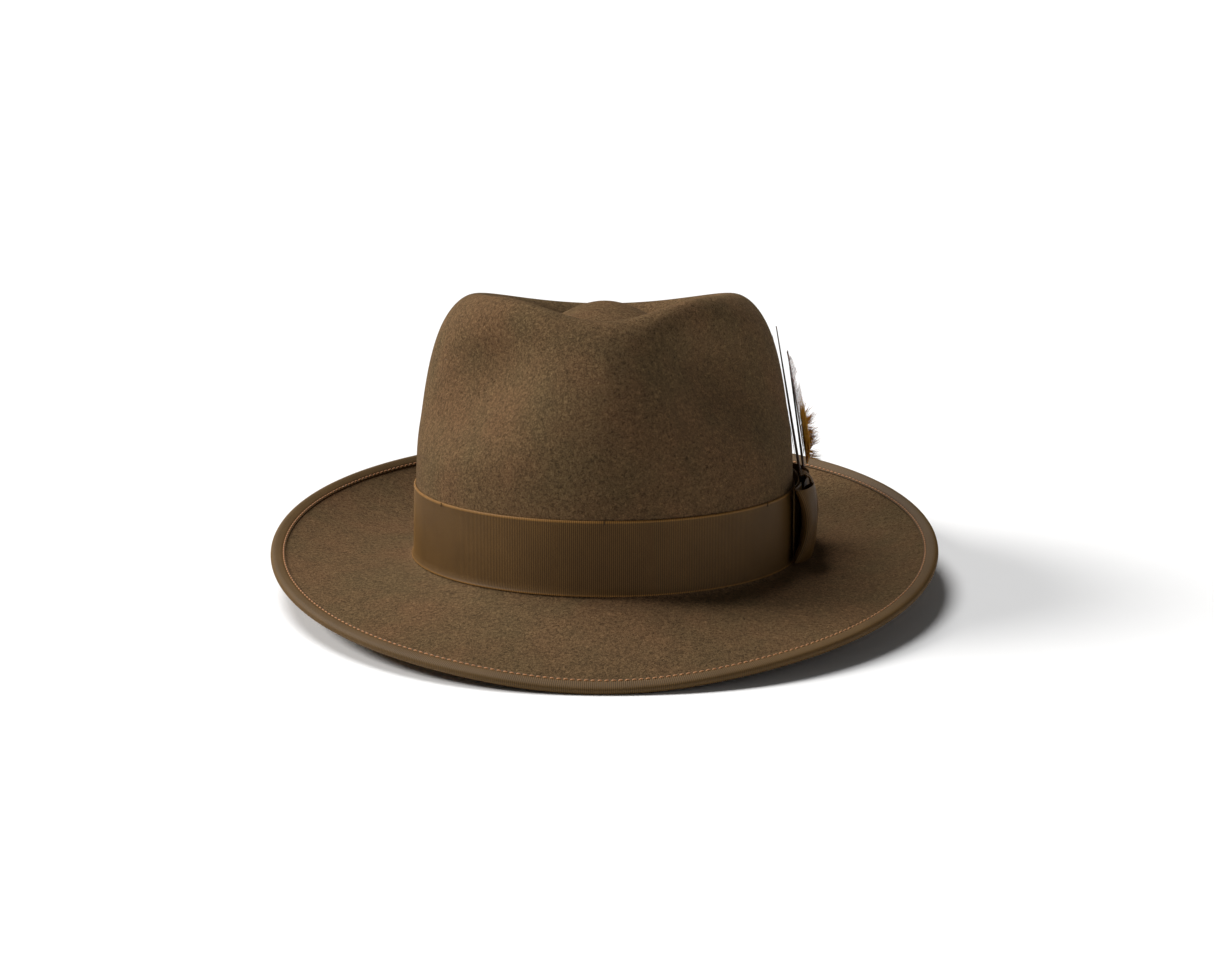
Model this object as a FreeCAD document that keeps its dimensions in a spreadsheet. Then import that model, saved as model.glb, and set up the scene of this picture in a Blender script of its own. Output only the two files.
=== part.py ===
import FreeCAD, Part
import os
from math import atan2, cos, degrees, exp, pi, radians, sin

Vector = FreeCAD.Vector

# Fedora hat, millimetres. The hat frame has z = 0 at the break, where the brim meets the
# crown, the front at -Y and the wearer's left at +X. Every piece is drawn in the hat frame
# and then tilted back as the hat rests: on the front of its brim and the back of its break.
# Angle phi runs round the head: 0 at the front, 90 degrees at the wearer's left.

DIMENSIONS = [
    # the felt
    ("head_half_width", 86.7),
    ("head_half_length", 103.5),
    ("felt_thickness", 2.2),
    ("brim_width", 64.5),
    ("break_fillet", 4.0),
    ("rest_tilt_degrees", 5.5),
    # ribbon and binding
    ("ribbon_width", 32.6),
    ("ribbon_thickness", 0.6),
    ("ribbon_gap", 0.28),
    ("ribbon_foot", 0.9),
    ("binding_cover", 5.0),
    ("binding_thickness", 0.45),
    ("binding_gap", 0.25),
    ("thread_radius", 0.25),
    ("thread_setback", 0.7),
    ("tack_radius", 0.22),
    ("tack_length", 1.7),
    # bow
    ("bow_foot", 2.5),
    ("bow_width", 33.0),
    ("bow_half_span", 38.0),
    ("bow_panel_offset", 1.75),
    ("bow_panel_half_span", 30.0),
    ("knot_width", 14.0),
    # sweatband
    ("sweatband_inset", 5.3),
    ("sweatband_thickness", 0.9),
    ("sweatband_height", 44.0),
    ("sweatband_stitch_radius", 0.2),
    ("sweatband_stitch_height", 2.6),
    ("sweatband_foot", -0.2),
    ("sweatband_slot", 1.0),
    ("reed_radius", 0.5),
    ("reed_inset", 3.5),
    ("reed_height", 1.0),
    ("reed_tape_inner", 0.75),
    ("reed_tape_outer", 1.0),
    ("seam_tape_width", 8.0),
    ("seam_tape_thickness", 0.3),
    ("seam_tape_height", 29.0),
    ("seam_tape_foot", 2.4),
    ("inner_bow_half_span", 11.0),
    ("inner_bow_thickness", 1.2),
    ("inner_bow_height", 10.0),
    ("tag_length", 16.0),
    ("tag_height", 12.0),
    ("tag_thickness", 0.25),
    ("tag_foot", 18.0),
    # lining
    ("lining_thickness", 0.35),
    ("lining_gap", 0.3),
    ("lining_foot", 8.0),
    ("tip_half_width", 62.0),
    ("tip_half_length", 71.0),
    ("tip_height", 84.0),
    ("tip_thickness", 0.4),
    ("tip_shift", 3.0),
    ("piping_radius", 0.5),
    ("film_inset", 12.0),
    ("film_thickness", 0.25),
    # feather
    ("stem_length", 83.0),
    ("stem_radius", 0.8),
    ("stem_tip_radius", 0.3),
    ("stem_below_ribbon", 14.0),
    ("dark_vane_half_width", 6.0),
    ("vane_thickness", 0.5),
    ("rust_stem_length", 55.0),
    ("rust_stem_radius", 0.65),
    ("rust_vane_half_width", 8.5),
    ("hackle_half_width", 9.0),
    ("hackle_depth", 2.4),
    ("wrap_radius", 1.5),
    ("wrap_length", 7.0),
]

doc = FreeCAD.newDocument("FedoraHat")
sheet = doc.addObject("Spreadsheet::Sheet", "Dims")
for line, (alias, value) in enumerate(DIMENSIONS, start=1):
    sheet.set(f"A{line}", alias)
    sheet.set(f"B{line}", str(value))
    sheet.setAlias(f"B{line}", alias)
doc.recompute()


def dim(alias):
    return float(sheet.get(alias))


nodes = []


def keep(item, label, local=None):
    """Name a finished sub-part, and note where it goes in the hat frame."""
    item.Label = label
    nodes.append((item, local or FreeCAD.Placement()))
    return item


# ---------------------------------------------------------------- shape of the felt

HALF_WIDTH = dim("head_half_width")
HALF_LENGTH = dim("head_half_length")
FELT = dim("felt_thickness")
BRIM = dim("brim_width")
FILLET = dim("break_fillet")
UP = Vector(0, 0, 1)
ANGLES = 72
PHIS = [2 * pi * i / ANGLES for i in range(ANGLES)]

# slope of the brim in degrees, at the break and at the edge: front, side, back
BREAK_SLOPE = (-16.1, 1.0, 9.0)
EDGE_SLOPE = (-22.0, 14.6, 46.0)
EDGE_LEAN = 1.5         # the wearer's left side is turned up this much more
EDGE_DIP = 9.5          # the brim is snapped down this much more right at the front
EDGE_DIP_SPREAD = 21.4  # in degrees round the head
SLOPE_POWER = 1.2       # how late along the brim its slope changes
BRIM_STEPS = 24

# rows of the crown's control net, from the ribbon up over the crest and in to the middle:
# inset from the head's oval at the side, inset at front and back, shift to the back,
# height at the side, at the front, at the back, extra height at the two front corners
CROWN_ROWS = [
    (0.3, 0.3, 0.0, 22.0, 22.0, 22.0, 0.0),
    (0.6, 1.2, 0.3, 42.0, 42.0, 42.0, 0.0),
    (1.7, 3.1, 1.0, 63.0, 63.0, 60.0, 0.0),
    (4.5, 6.7, 1.8, 82.0, 82.0, 77.0, 0.0),
    (9.1, 12.5, 2.4, 99.0, 97.0, 91.0, 1.8),
    (16.3, 19.5, 2.8, 113.0, 107.2, 101.0, 4.5),
    (27.2, 28.7, 3.0, 120.8, 112.8, 108.2, 7.3),
    (39.7, 40.0, 3.2, 115.0, 110.2, 104.0, 6.3),
    (50.7, 54.5, 3.6, 99.0, 103.0, 94.0, 1.5),
    (66.7, 76.5, 4.0, 110.5, 110.5, 110.5, 0.0),
    (HALF_WIDTH, HALF_LENGTH, 4.0, 118.0, 118.0, 118.0, 0.0),
]
CORNER_ANGLE = 39.0     # degrees from the front
CORNER_SPREAD = 33.0
CROWN_STEPS = 40
CAP_HALF_WIDTH = 1.3    # the flat spot in the middle of the crown
CAP_HALF_LENGTH = 1.6

# the two pinches at the front of the crown
DENT_ANGLE = 46.0       # degrees from the front, at the pinch's own height
DENT_INNER = 27.0       # spread towards the nose, in degrees
DENT_OUTER = 24.5       # spread towards the side
DENT_HEIGHT = 92.6
DENT_ABOVE = 21.0       # spread upward
DENT_BELOW = 30.0       # spread downward
DENT_DEPTH = 15.3
DENT_SHEAR = 0.31       # degrees further from the front for each mm lower
DENT_END = 0.80         # where along the crown's curve the pinch has faded out
DENT_FADE = 0.25
DENT_FOOT = 46.0        # no pinch below this height; it is whole a little higher up
DENT_FOOT_FADE = 22.0


def around(phi, front, side, back):
    """A value that runs smoothly from front to side to back of the head."""
    turn = cos(phi)
    return side + (front - back) / 2 * turn + ((front + back) / 2 - side) * turn * turn


def from_front(phi):
    """How far phi is from the front, 0 to 180 degrees."""
    return abs(degrees(atan2(sin(phi), cos(phi))))


def oval(phi, half_width, half_length, shift=0.0, height=0.0):
    return Vector(half_width * sin(phi), shift - half_length * cos(phi), height)


def corner(phi):
    return oval(phi, HALF_WIDTH, HALF_LENGTH)


def outward(phi):
    return oval(phi, 1 / HALF_WIDTH, 1 / HALF_LENGTH).normalize()


def brim_point(phi, distance):
    """Top of the brim, at a distance from the break measured along the felt."""
    first = around(phi, *BREAK_SLOPE)
    last = around(phi, *EDGE_SLOPE) + EDGE_LEAN * sin(phi)
    last -= EDGE_DIP * exp(-(from_front(phi) / EDGE_DIP_SPREAD) ** 2)
    step = distance / BRIM_STEPS
    point = corner(phi)
    for i in range(BRIM_STEPS):
        part_way = (i + 0.5) * step / BRIM
        slope = radians(first + (last - first) * part_way ** SLOPE_POWER)
        point += outward(phi) * (cos(slope) * step) + UP * (sin(slope) * step)
    return point


def crown_control(phi, row):
    side_inset, end_inset, shift, side, front, back, lift = row
    height = around(phi, front, side, back)
    for middle in (CORNER_ANGLE, -CORNER_ANGLE):
        height += lift * exp(-((from_front(phi) - middle) / CORNER_SPREAD) ** 2)
    return oval(phi, HALF_WIDTH - side_inset, HALF_LENGTH - end_inset, shift, height)


def dent(phi, point, along):
    """How far the felt is pinched in at a point of the crown."""
    drop = DENT_HEIGHT - point.z
    off = from_front(phi) - DENT_ANGLE - DENT_SHEAR * max(-12.0, min(30.0, drop))
    across = exp(-(off / (DENT_INNER if off < 0 else DENT_OUTER)) ** 2)
    upright = exp(-(drop / (DENT_BELOW if drop > 0 else DENT_ABOVE)) ** 2)
    depth = DENT_DEPTH * across * upright
    for room, reach in ((DENT_END - along, DENT_FADE), (point.z - DENT_FOOT, DENT_FOOT_FADE)):
        fade = max(0.0, min(1.0, room / reach))
        depth *= fade * fade * (3 - 2 * fade)
    return depth


def crown_profile(phi):
    """Points up the outside of the crown, from the top of the fillet to the flat spot."""
    foot = corner(phi) + UP * FILLET
    controls = [crown_control(phi, row) for row in CROWN_ROWS]
    below = foot * 2 - controls[0]
    beyond = crown_control(phi + pi, CROWN_ROWS[-2])
    net = [below, foot] + controls + [beyond]
    spans = len(net) - 3
    points = []
    for i in range(CROWN_STEPS + 1):
        place = spans * i / CROWN_STEPS
        first = min(int(place), spans - 1)
        f = place - first
        weights = (
            (1 - f) ** 3 / 6,
            (3 * f ** 3 - 6 * f ** 2 + 4) / 6,
            (-3 * f ** 3 + 3 * f ** 2 + 3 * f + 1) / 6,
            f ** 3 / 6,
        )
        point = Vector()
        for weight, control in zip(weights, net[first:first + 4]):
            point += control * weight
        points.append(point - outward(phi) * dent(phi, point, i / CROWN_STEPS))
    middle = points[-1]
    points[-1] = oval(phi, CAP_HALF_WIDTH, CAP_HALF_LENGTH, middle.y, middle.z)
    return points


def fillet_points(phi, steps):
    """The curve between brim and crown, a quadratic arc tangent to both."""
    low = brim_point(phi, FILLET)
    mid = corner(phi)
    high = mid + UP * FILLET
    curve = []
    for i in range(1, steps):
        f = i / steps
        curve.append(low * (1 - f) ** 2 + mid * (2 * f * (1 - f)) + high * f ** 2)
    return curve


def felt_profile(phi):
    """The whole outside of the felt at one angle, from the brim's edge to the crown's middle."""
    reach = [BRIM, 57.0, 47.0, 37.0, 27.0, 17.0, 9.0, FILLET]
    brim = [brim_point(phi, distance) for distance in reach]
    return brim + fillet_points(phi, 4) + crown_profile(phi)


WALLS = [fillet_points(phi, 8) + crown_profile(phi) for phi in PHIS]


def wall_row(height, gap):
    """A ring of points at one height, a gap outside the felt (negative: inside it)."""
    row = []
    for phi, wall in zip(PHIS, WALLS):
        pairs = zip(wall, wall[1:])
        low, high = next(pair for pair in pairs if pair[1].z >= height)
        f = (height - low.z) / (high.z - low.z)
        row.append(low + (high - low) * f + outward(phi) * gap)
    return row


# ---------------------------------------------------------------- surfaces and solids

def rows_of(profile):
    """Turn a profile(phi) into rows, each row a closed ring of points."""
    return [list(row) for row in zip(*[profile(phi) for phi in PHIS])]


def ring_curve(row):
    """The smooth closed curve through a ring of points."""
    curve = Part.BSplineCurve()
    curve.interpolate(Points=row, PeriodicFlag=True, Parameters=list(range(ANGLES + 1)))
    return curve


def flat_cap(row):
    """The flat face inside a level ring of points."""
    return Part.Face(Part.Wire(ring_curve(row).toShape()))


def skin(rows):
    """A smooth face through rings of points."""
    first = ring_curve(rows[0])
    places = [0.0]
    for low, high in zip(rows, rows[1:]):
        places.append(places[-1] + sum(a.distanceToPoint(b) for a, b in zip(low, high)) / ANGLES)
    columns = []
    for column in zip(*[ring_curve(row).getPoles() for row in rows]):
        curve = Part.BSplineCurve()
        curve.interpolate(Points=list(column), Parameters=places)
        columns.append(curve)
    surface = Part.BSplineSurface()
    surface.buildFromPolesMultsKnots(
        [curve.getPoles() for curve in columns],
        first.getMultiplicities(),
        columns[0].getMultiplicities(),
        first.getKnots(),
        columns[0].getKnots(),
        True,
        False,
        first.Degree,
        columns[0].Degree,
    )
    return surface.toShape()


def solid_of(faces):
    """Sew faces that share their edges into one solid."""
    shell = Part.makeShell(faces)
    shell.sewShape()
    solid = Part.makeSolid(Part.Shell(shell.Faces))
    if solid.Volume < 0:
        solid.reverse()
    return solid


def ring_solid(strips):
    """A solid ring whose section is closed by strips, each ending where the next begins."""
    return solid_of([skin(strip) for strip in strips])


def set_off(rows, distance):
    """The same rows moved square to the sheet: positive is to the left of the rows' travel."""
    last = len(rows) - 1
    moved = []
    for j, row in enumerate(rows):
        ring = []
        for i in range(ANGLES):
            along = rows[min(j + 1, last)][i] - rows[max(j - 1, 0)][i]
            across = row[(i + 1) % ANGLES] - row[i - 1]
            ring.append(row[i] + across.cross(along).normalize() * distance)
        moved.append(ring)
    return moved


def sheet_solid(rows, thickness):
    """An open-topped sheet of even thickness, whose rows run up from its foot."""
    back = set_off(rows, thickness)
    return ring_solid([rows, [rows[-1], back[-1]], back[::-1], [back[0], rows[0]]])


def domed_solid(rows, thickness):
    """A sheet of even thickness that a flat spot closes at the top."""
    back = set_off(rows, thickness)
    back[-1] = [point + UP * thickness for point in rows[-1]]
    caps = [flat_cap(rows[-1]), flat_cap(back[-1])]
    return solid_of([skin(rows), skin(back[::-1]), skin([back[0], rows[0]])] + caps)


def section_rows(centre, axes, outline):
    """Rows for points of a section given round a centre, in the two axes at each angle."""
    rows = []
    for x, y in outline:
        rows.append([centre(phi) + axes(phi)[0] * x + axes(phi)[1] * y for phi in PHIS])
    return rows


TUBE_FACES = 6


def arc(radius, first, last, steps, at=(0.0, 0.0)):
    points = []
    for i in range(steps + 1):
        angle = radians(first + (last - first) * i / steps)
        points.append((at[0] + radius * cos(angle), at[1] + radius * sin(angle)))
    return points


def tube_ring(centre, axes, radius):
    """A round cord that runs right round the hat."""
    turn = 360 // TUBE_FACES
    sides = [section_rows(centre, axes, arc(radius, first, first + turn, 3))
             for first in range(0, 360, turn)]
    for side, following in zip(sides, sides[1:] + sides[:1]):
        side[-1] = following[0]
    return ring_solid(sides)


def add_shape(label, shape):
    item = doc.addObject("Part::Feature", label)
    item.Shape = shape
    return keep(item, label)


def brim_axes(phi):
    """Along the brim and square to it, at its edge."""
    along = (brim_point(phi, BRIM) - brim_point(phi, BRIM - 1)).normalize()
    side = oval(phi + pi / 2, HALF_WIDTH, HALF_LENGTH).normalize()
    return along, along.cross(side).normalize()


def level_axes(phi):
    return outward(phi), UP


# ---------------------------------------------------------------- felt, ribbon, binding

def make_felt():
    add_shape("felt_body", domed_solid(rows_of(felt_profile), -FELT))


def make_hat_band():
    """The ribbon round the foot of the crown."""
    foot = dim("ribbon_foot")
    width = dim("ribbon_width")
    gap = dim("ribbon_gap")
    heights = [foot, foot + 1.2, foot + 2.6, foot + 5, foot + 12, foot + 22, foot + width]
    inner = [wall_row(height, gap) for height in heights]
    outer = [wall_row(height, gap + dim("ribbon_thickness")) for height in heights]
    add_shape("hat_band", ring_solid([inner, [inner[-1], outer[-1]], outer[::-1],
                                      [outer[0], inner[0]]]))


def binding_frame(phi):
    """A point half way through the felt at the brim's edge."""
    return brim_point(phi, BRIM) - brim_axes(phi)[1] * (FELT / 2)


def make_brim_binding():
    """Grosgrain folded over the brim's edge, open towards the crown."""
    cover = -dim("binding_cover")
    inside = FELT / 2 + dim("binding_gap")
    outside = inside + dim("binding_thickness")
    far = dim("binding_gap")
    thick = dim("binding_thickness")
    nose_out = arc(outside, 90, -90, 8, at=(far - inside + thick, 0))
    inner_lines = [
        [(cover, inside), (cover / 2, inside), (far, inside)],
        [(far, inside), (far, 0), (far, -inside)],
        [(far, -inside), (cover / 2, -inside), (cover, -inside)],
    ]
    outer_lines = [
        [(cover, -outside), (cover / 2, -outside), nose_out[-1]],
        nose_out[::-1],
        [nose_out[0], (cover / 2, outside), (cover, outside)],
    ]
    outlines = inner_lines + [[(cover, -inside), (cover, -outside)]] + outer_lines
    outlines.append([(cover, outside), (cover, inside)])
    strips = [section_rows(binding_frame, brim_axes, outline) for outline in outlines]
    add_shape("brim_binding", ring_solid(strips))


def make_binding_threads():
    """The stitching that holds the binding, one line on each side of the brim."""
    radius = dim("thread_radius")
    back = dim("thread_setback") - dim("binding_cover")
    lift = FELT / 2 + dim("binding_gap") + dim("binding_thickness") + radius + 0.1
    for label, side in (("binding_thread_top", 1), ("binding_thread_bottom", -1)):
        def line(phi):
            along, square = brim_axes(phi)
            return binding_frame(phi) + along * back + square * (lift * side)
        add_shape(label, tube_ring(line, brim_axes, radius))


def make_band_tacks():
    """Six short thread tacks over the ribbon's upper edge."""
    height = dim("ribbon_foot") + dim("ribbon_width")
    tacks = []
    for turn in (55, 125, 180, 235, 305, 0):
        index = round(turn / 360 * ANGLES) % ANGLES
        tack = Part.makeCylinder(dim("tack_radius"), dim("tack_length"))
        tack.translate(UP * (0.3 - dim("tack_length")))
        point = wall_row(height, dim("ribbon_gap") + dim("ribbon_thickness") + 0.4)[index]
        tack.translate(point)
        tacks.append(tack)
    add_shape("band_tack_stitches", Part.makeCompound(tacks))


# ---------------------------------------------------------------- bodies and sketches

def new_sketch(body, role, name):
    plane = next(f for f in body.Origin.OriginFeatures if f.Role == role)
    sketch = body.newObject("Sketcher::SketchObject", name)
    sketch.AttachmentSupport = (plane, [""])
    sketch.MapMode = "FlatFace"
    return sketch


def new_pad(body, sketch, alias, name, midplane=False):
    pad = body.newObject("PartDesign::Pad", name)
    pad.Profile = sketch
    pad.setExpression("Length", f"Dims.{alias}")
    if midplane:
        pad.SideType = "Symmetric"
    sketch.Visibility = False
    return pad


def padded_outline(label, role, edges, alias, local=None, midplane=False):
    """A body made by padding one closed outline; edges are Part curves in order."""
    body = doc.addObject("PartDesign::Body", label)
    sketch = new_sketch(body, role, label + "_outline")
    for edge in edges:
        sketch.addGeometry(edge, False)
    new_pad(body, sketch, alias, label + "_pad", midplane)
    return keep(body, label, local)


def curve_through(points):
    curve = Part.BSplineCurve()
    curve.interpolate(Points=points)
    return curve


def ribbon_outline(centre_line, thickness):
    """The outline of a ribbon seen on edge: its centre line given half a thickness each way."""
    left = []
    right = []
    last = len(centre_line) - 1
    for i, point in enumerate(centre_line):
        along = centre_line[min(i + 1, last)] - centre_line[max(i - 1, 0)]
        square = Vector(-along.y, along.x, 0).normalize() * (thickness / 2)
        left.append(point + square)
        right.append(point - square)
    return [
        curve_through(left),
        Part.LineSegment(left[-1], right[-1]),
        curve_through(right[::-1]),
        Part.LineSegment(right[0], left[0]),
    ]


# ---------------------------------------------------------------- bow

# The bow lies on the ribbon at the wearer's left, where the head's oval is close to a circle.
BOW_RADIUS = HALF_LENGTH ** 2 / HALF_WIDTH
BOW_CENTRE = Vector(HALF_WIDTH - BOW_RADIUS, 0, 0)
BOW_PLACE = FreeCAD.Placement(UP * dim("bow_foot"), FreeCAD.Rotation())


def bow_point(back, proud):
    """A point of the bow's plan: distance back along the ribbon, and out from the felt."""
    angle = back / BOW_RADIUS
    return BOW_CENTRE + Vector(cos(angle), sin(angle), 0) * (BOW_RADIUS + proud)


def make_bow_panel():
    """The flat strip that covers the ribbon's join and carries the loops."""
    half = dim("bow_panel_half_span")
    middle = dim("bow_panel_offset") + dim("ribbon_thickness") / 2
    line = [bow_point(half * (i / 4 - 1), middle) for i in range(9)]
    edges = ribbon_outline(line, dim("ribbon_thickness"))
    padded_outline("bow_base_panel", "XY_Plane", edges, "bow_width", BOW_PLACE)


def make_bow_loops():
    """Two loops of folded ribbon, each from the knot out to a fold and back."""
    near = dim("bow_panel_offset") + dim("ribbon_thickness") * 1.5 + 0.3
    tip = dim("bow_half_span")
    plan = [
        (2.0, near), (12.0, near), (24.0, near), (tip - 4.0, near + 0.1), (tip - 0.8, near + 0.9),
        (tip, near + 2.2), (tip - 1.4, near + 3.8), (tip - 5.0, near + 5.0), (26.0, near + 6.2),
        (18.0, near + 6.2), (12.0, near + 5.6), (8.0, near + 4.0), (5.0, near + 2.6),
        (2.0, near + 2.0),
    ]
    for label, side in (("bow_front_loop", -1), ("bow_rear_loop", 1)):
        line = [bow_point(back * side, proud) for back, proud in plan]
        edges = ribbon_outline(line, dim("ribbon_thickness"))
        padded_outline(label, "XY_Plane", edges, "bow_width", BOW_PLACE)


def make_bow_knot():
    """The short piece of ribbon wrapped over the middle of the loops."""
    foot = dim("bow_foot")
    top = foot + dim("bow_width")
    base = HALF_WIDTH
    plan = [
        (3.1, top + 0.9), (5.0, top + 1.5), (7.6, top - 1.0), (9.2, top - 7.5), (9.7, top - 16.5),
        (9.2, foot + 7.5), (7.6, foot + 1.0), (5.0, foot - 1.4), (3.1, foot - 0.9),
    ]
    line = [Vector(base + proud, height, 0) for proud, height in plan]
    edges = ribbon_outline(line, dim("ribbon_thickness"))
    padded_outline("bow_knot", "XZ_Plane", edges, "knot_width", midplane=True)


def make_bow_tacks():
    """Four tacks that hold the panel's ends to the ribbon."""
    tacks = []
    for back in (-1, 1):
        for height in (dim("bow_foot") + 5, dim("bow_foot") + dim("bow_width") - 5):
            tack = Part.makeCylinder(dim("tack_radius"), dim("tack_length"))
            tack.translate(bow_point(back * (dim("bow_panel_half_span") + 0.5), 1.35))
            tack.translate(UP * height)
            tacks.append(tack)
    add_shape("bow_tack_stitches", Part.makeCompound(tacks))


# ---------------------------------------------------------------- sweatband

def ellipse(half_width, half_length, shift=0.0):
    """An oval for a sketch, long along the head."""
    centre = Vector(0, shift, 0)
    return Part.Ellipse(centre + Vector(0, half_length, 0), centre + Vector(-half_width, 0, 0),
                        centre)


def make_sweatband():
    """A leather strip bent round the head, its two ends a slot apart at the back."""
    inset = dim("sweatband_inset")
    inner = inset + dim("sweatband_thickness")
    body = doc.addObject("PartDesign::Body", "sweatband")
    ring = new_sketch(body, "XY_Plane", "sweatband_ring")
    ring.addGeometry(ellipse(HALF_WIDTH - inset, HALF_LENGTH - inset), False)
    ring.addGeometry(ellipse(HALF_WIDTH - inner, HALF_LENGTH - inner), False)
    new_pad(body, ring, "sweatband_height", "sweatband_pad")
    doc.recompute()
    whole = body.Shape.Volume
    half = dim("sweatband_slot") / 2
    near = HALF_LENGTH - inner - 2
    far = HALF_LENGTH - inset + 2
    corners = [Vector(-half, near, 0), Vector(half, near, 0), Vector(half, far, 0),
               Vector(-half, far, 0)]
    slot = new_sketch(body, "XY_Plane", "sweatband_slot_outline")
    for start, end in zip(corners, corners[1:] + corners[:1]):
        slot.addGeometry(Part.LineSegment(start, end), False)
    pocket = body.newObject("PartDesign::Pocket", "sweatband_slot_cut")
    pocket.Profile = slot
    pocket.Type = "ThroughAll"
    pocket.Reversed = True
    body.Tip = pocket
    doc.recompute()
    if body.Shape.Volume >= whole:
        raise ValueError("the slot cut nothing from the sweatband")
    place = FreeCAD.Placement(UP * dim("sweatband_foot"), FreeCAD.Rotation())
    keep(body, "sweatband", place)


def reed_line(phi):
    return corner(phi) - outward(phi) * dim("reed_inset") + UP * dim("reed_height")


def make_reed():
    """The springy cord in the sweatband's fold, and the tape wrapped round it."""
    add_shape("sweatband_reed", tube_ring(reed_line, level_axes, dim("reed_radius")))
    inner = dim("reed_tape_inner")
    outer = dim("reed_tape_outer")
    mouth = 20
    around_out = arc(outer, 90 + mouth, 450 - mouth, 16)
    around_in = arc(inner, 450 - mouth, 90 + mouth, 16)
    outlines = [around_out, [around_out[-1], around_in[0]], around_in,
                [around_in[-1], around_out[0]]]
    strips = [section_rows(reed_line, level_axes, outline) for outline in outlines]
    add_shape("sweatband_reed_tape", ring_solid(strips))


def make_sweatband_stitching():
    """The line of thread just above the sweatband's foot, on its face."""
    radius = dim("sweatband_stitch_radius")
    inset = dim("sweatband_inset") + dim("sweatband_thickness") + radius + 0.15
    height = dim("sweatband_stitch_height")

    def line(phi):
        return oval(phi, HALF_WIDTH - inset, HALF_LENGTH - inset, 0.0, height)
    add_shape("sweatband_stitching", tube_ring(line, level_axes, radius))


def box_at(label, x, y, z, sizes):
    """A Part box whose three sizes are cells of the sheet; x, y, z is its low corner."""
    item = doc.addObject("Part::Box", label)
    for side, alias in zip(("Length", "Width", "Height"), sizes):
        item.setExpression(side, f"Dims.{alias}")
    return keep(item, label, FreeCAD.Placement(Vector(x, y, z), FreeCAD.Rotation()))


def make_seam_tape():
    """The ribbon behind the slot at the back of the sweatband."""
    near = HALF_LENGTH - dim("sweatband_inset") + 0.35
    box_at("sweatband_seam_tape", -dim("seam_tape_width") / 2, near, dim("seam_tape_foot"),
           ("seam_tape_width", "seam_tape_thickness", "seam_tape_height"))


def make_size_tag():
    """A blank slip tucked between sweatband and lining at the wearer's left."""
    near = HALF_WIDTH - dim("sweatband_inset") + 0.3
    box_at("size_tag", near, -dim("tag_length") / 2, dim("tag_foot"),
           ("tag_thickness", "tag_length", "tag_height"))


def make_inner_bow():
    """The small flat bow on the face of the sweatband, over its slot."""
    half = dim("inner_bow_half_span")
    corners = [(-half, -4.0), (-2.0, -1.6), (2.0, -1.6), (half, -4.0), (half - 1.0, 0.0),
               (half, 4.0), (2.0, 1.6), (-2.0, 1.6), (-half, 4.0), (1.0 - half, 0.0)]
    points = [Vector(x, z, 0) for x, z in corners]
    edges = [Part.LineSegment(a, b) for a, b in zip(points, points[1:] + points[:1])]
    face = HALF_LENGTH - dim("sweatband_inset") - dim("sweatband_thickness") - 1.6
    place = FreeCAD.Placement(Vector(0, face, dim("inner_bow_height")), FreeCAD.Rotation())
    padded_outline("sweatband_bow", "XZ_Plane", edges, "inner_bow_thickness", place)


# ---------------------------------------------------------------- lining

def tip_row(scale, height):
    return [oval(phi, dim("tip_half_width") * scale, dim("tip_half_length") * scale,
                 dim("tip_shift"), height) for phi in PHIS]


def make_lining():
    """The side of the lining, which follows the felt up and turns in under the crown."""
    low = FELT + dim("lining_gap")
    top = dim("tip_height")
    slack = 0.2
    rows = [wall_row(height, -low - slack) for height in (dim("lining_foot"), 20.0, 32.0)]
    rows.append(wall_row(44.0, -low))
    rows.append(wall_row(55.0, -low - 0.5))
    rows.append(wall_row(64.0, -low - 1.6))
    rows.append(wall_row(71.0, -low - 4.0))
    rows.append(tip_row(1.07, top - 5.0))
    rows.append(tip_row(1.03, top - 1.6))
    rows.append(tip_row(0.995, top - 0.5))
    rows.append(tip_row(0.96, top - 0.4))
    add_shape("lining_side", sheet_solid(rows, -dim("lining_thickness")))


def make_tip_piping():
    def line(phi):
        below = dim("lining_thickness") + dim("piping_radius") + 0.65
        return oval(phi, dim("tip_half_width") * 0.97, dim("tip_half_length") * 0.97,
                    dim("tip_shift"), dim("tip_height") - below)
    add_shape("lining_tip_piping", tube_ring(line, level_axes, dim("piping_radius")))


def make_tip():
    """The oval top of the lining, and the clear film that keeps it clean."""
    shift = dim("tip_shift")
    inset = dim("film_inset")
    whole = ellipse(dim("tip_half_width"), dim("tip_half_length"), shift)
    place = FreeCAD.Placement(UP * dim("tip_height"), FreeCAD.Rotation())
    padded_outline("lining_tip", "XY_Plane", [whole], "tip_thickness", place)
    small = ellipse(dim("tip_half_width") - inset, dim("tip_half_length") - inset, shift)
    lower = FreeCAD.Placement(UP * (dim("tip_height") - 0.3 - dim("film_thickness")),
                              FreeCAD.Rotation())
    padded_outline("lining_tip_cover", "XY_Plane", [small], "film_thickness", lower)


# ---------------------------------------------------------------- feather

# The feather's own frame: z up its main stem, x out from the crown, y to the back.
FEATHER_FOOT = Vector(90.7, 17.0, 34.0)
FEATHER_AIM = Vector(-0.165, 0.18, 1.0)
FEATHER_PLACE = FreeCAD.Placement(FEATHER_FOOT, FreeCAD.Rotation(UP, FEATHER_AIM))
RUST_PLACE = FEATHER_PLACE * FreeCAD.Placement(Vector(1.95, 0, 2.0),
                                               FreeCAD.Rotation(Vector(0, 1, 0), 1.5))


def make_stem(label, length, radius, low, place):
    stem = doc.addObject("Part::Cone", label)
    stem.setExpression("Height", f"Dims.{length}")
    stem.setExpression("Radius1", f"Dims.{radius}")
    stem.setExpression("Radius2", "Dims.stem_tip_radius")
    local = place * FreeCAD.Placement(Vector(0, 0, low), FreeCAD.Rotation())
    keep(stem, label, local)


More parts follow.
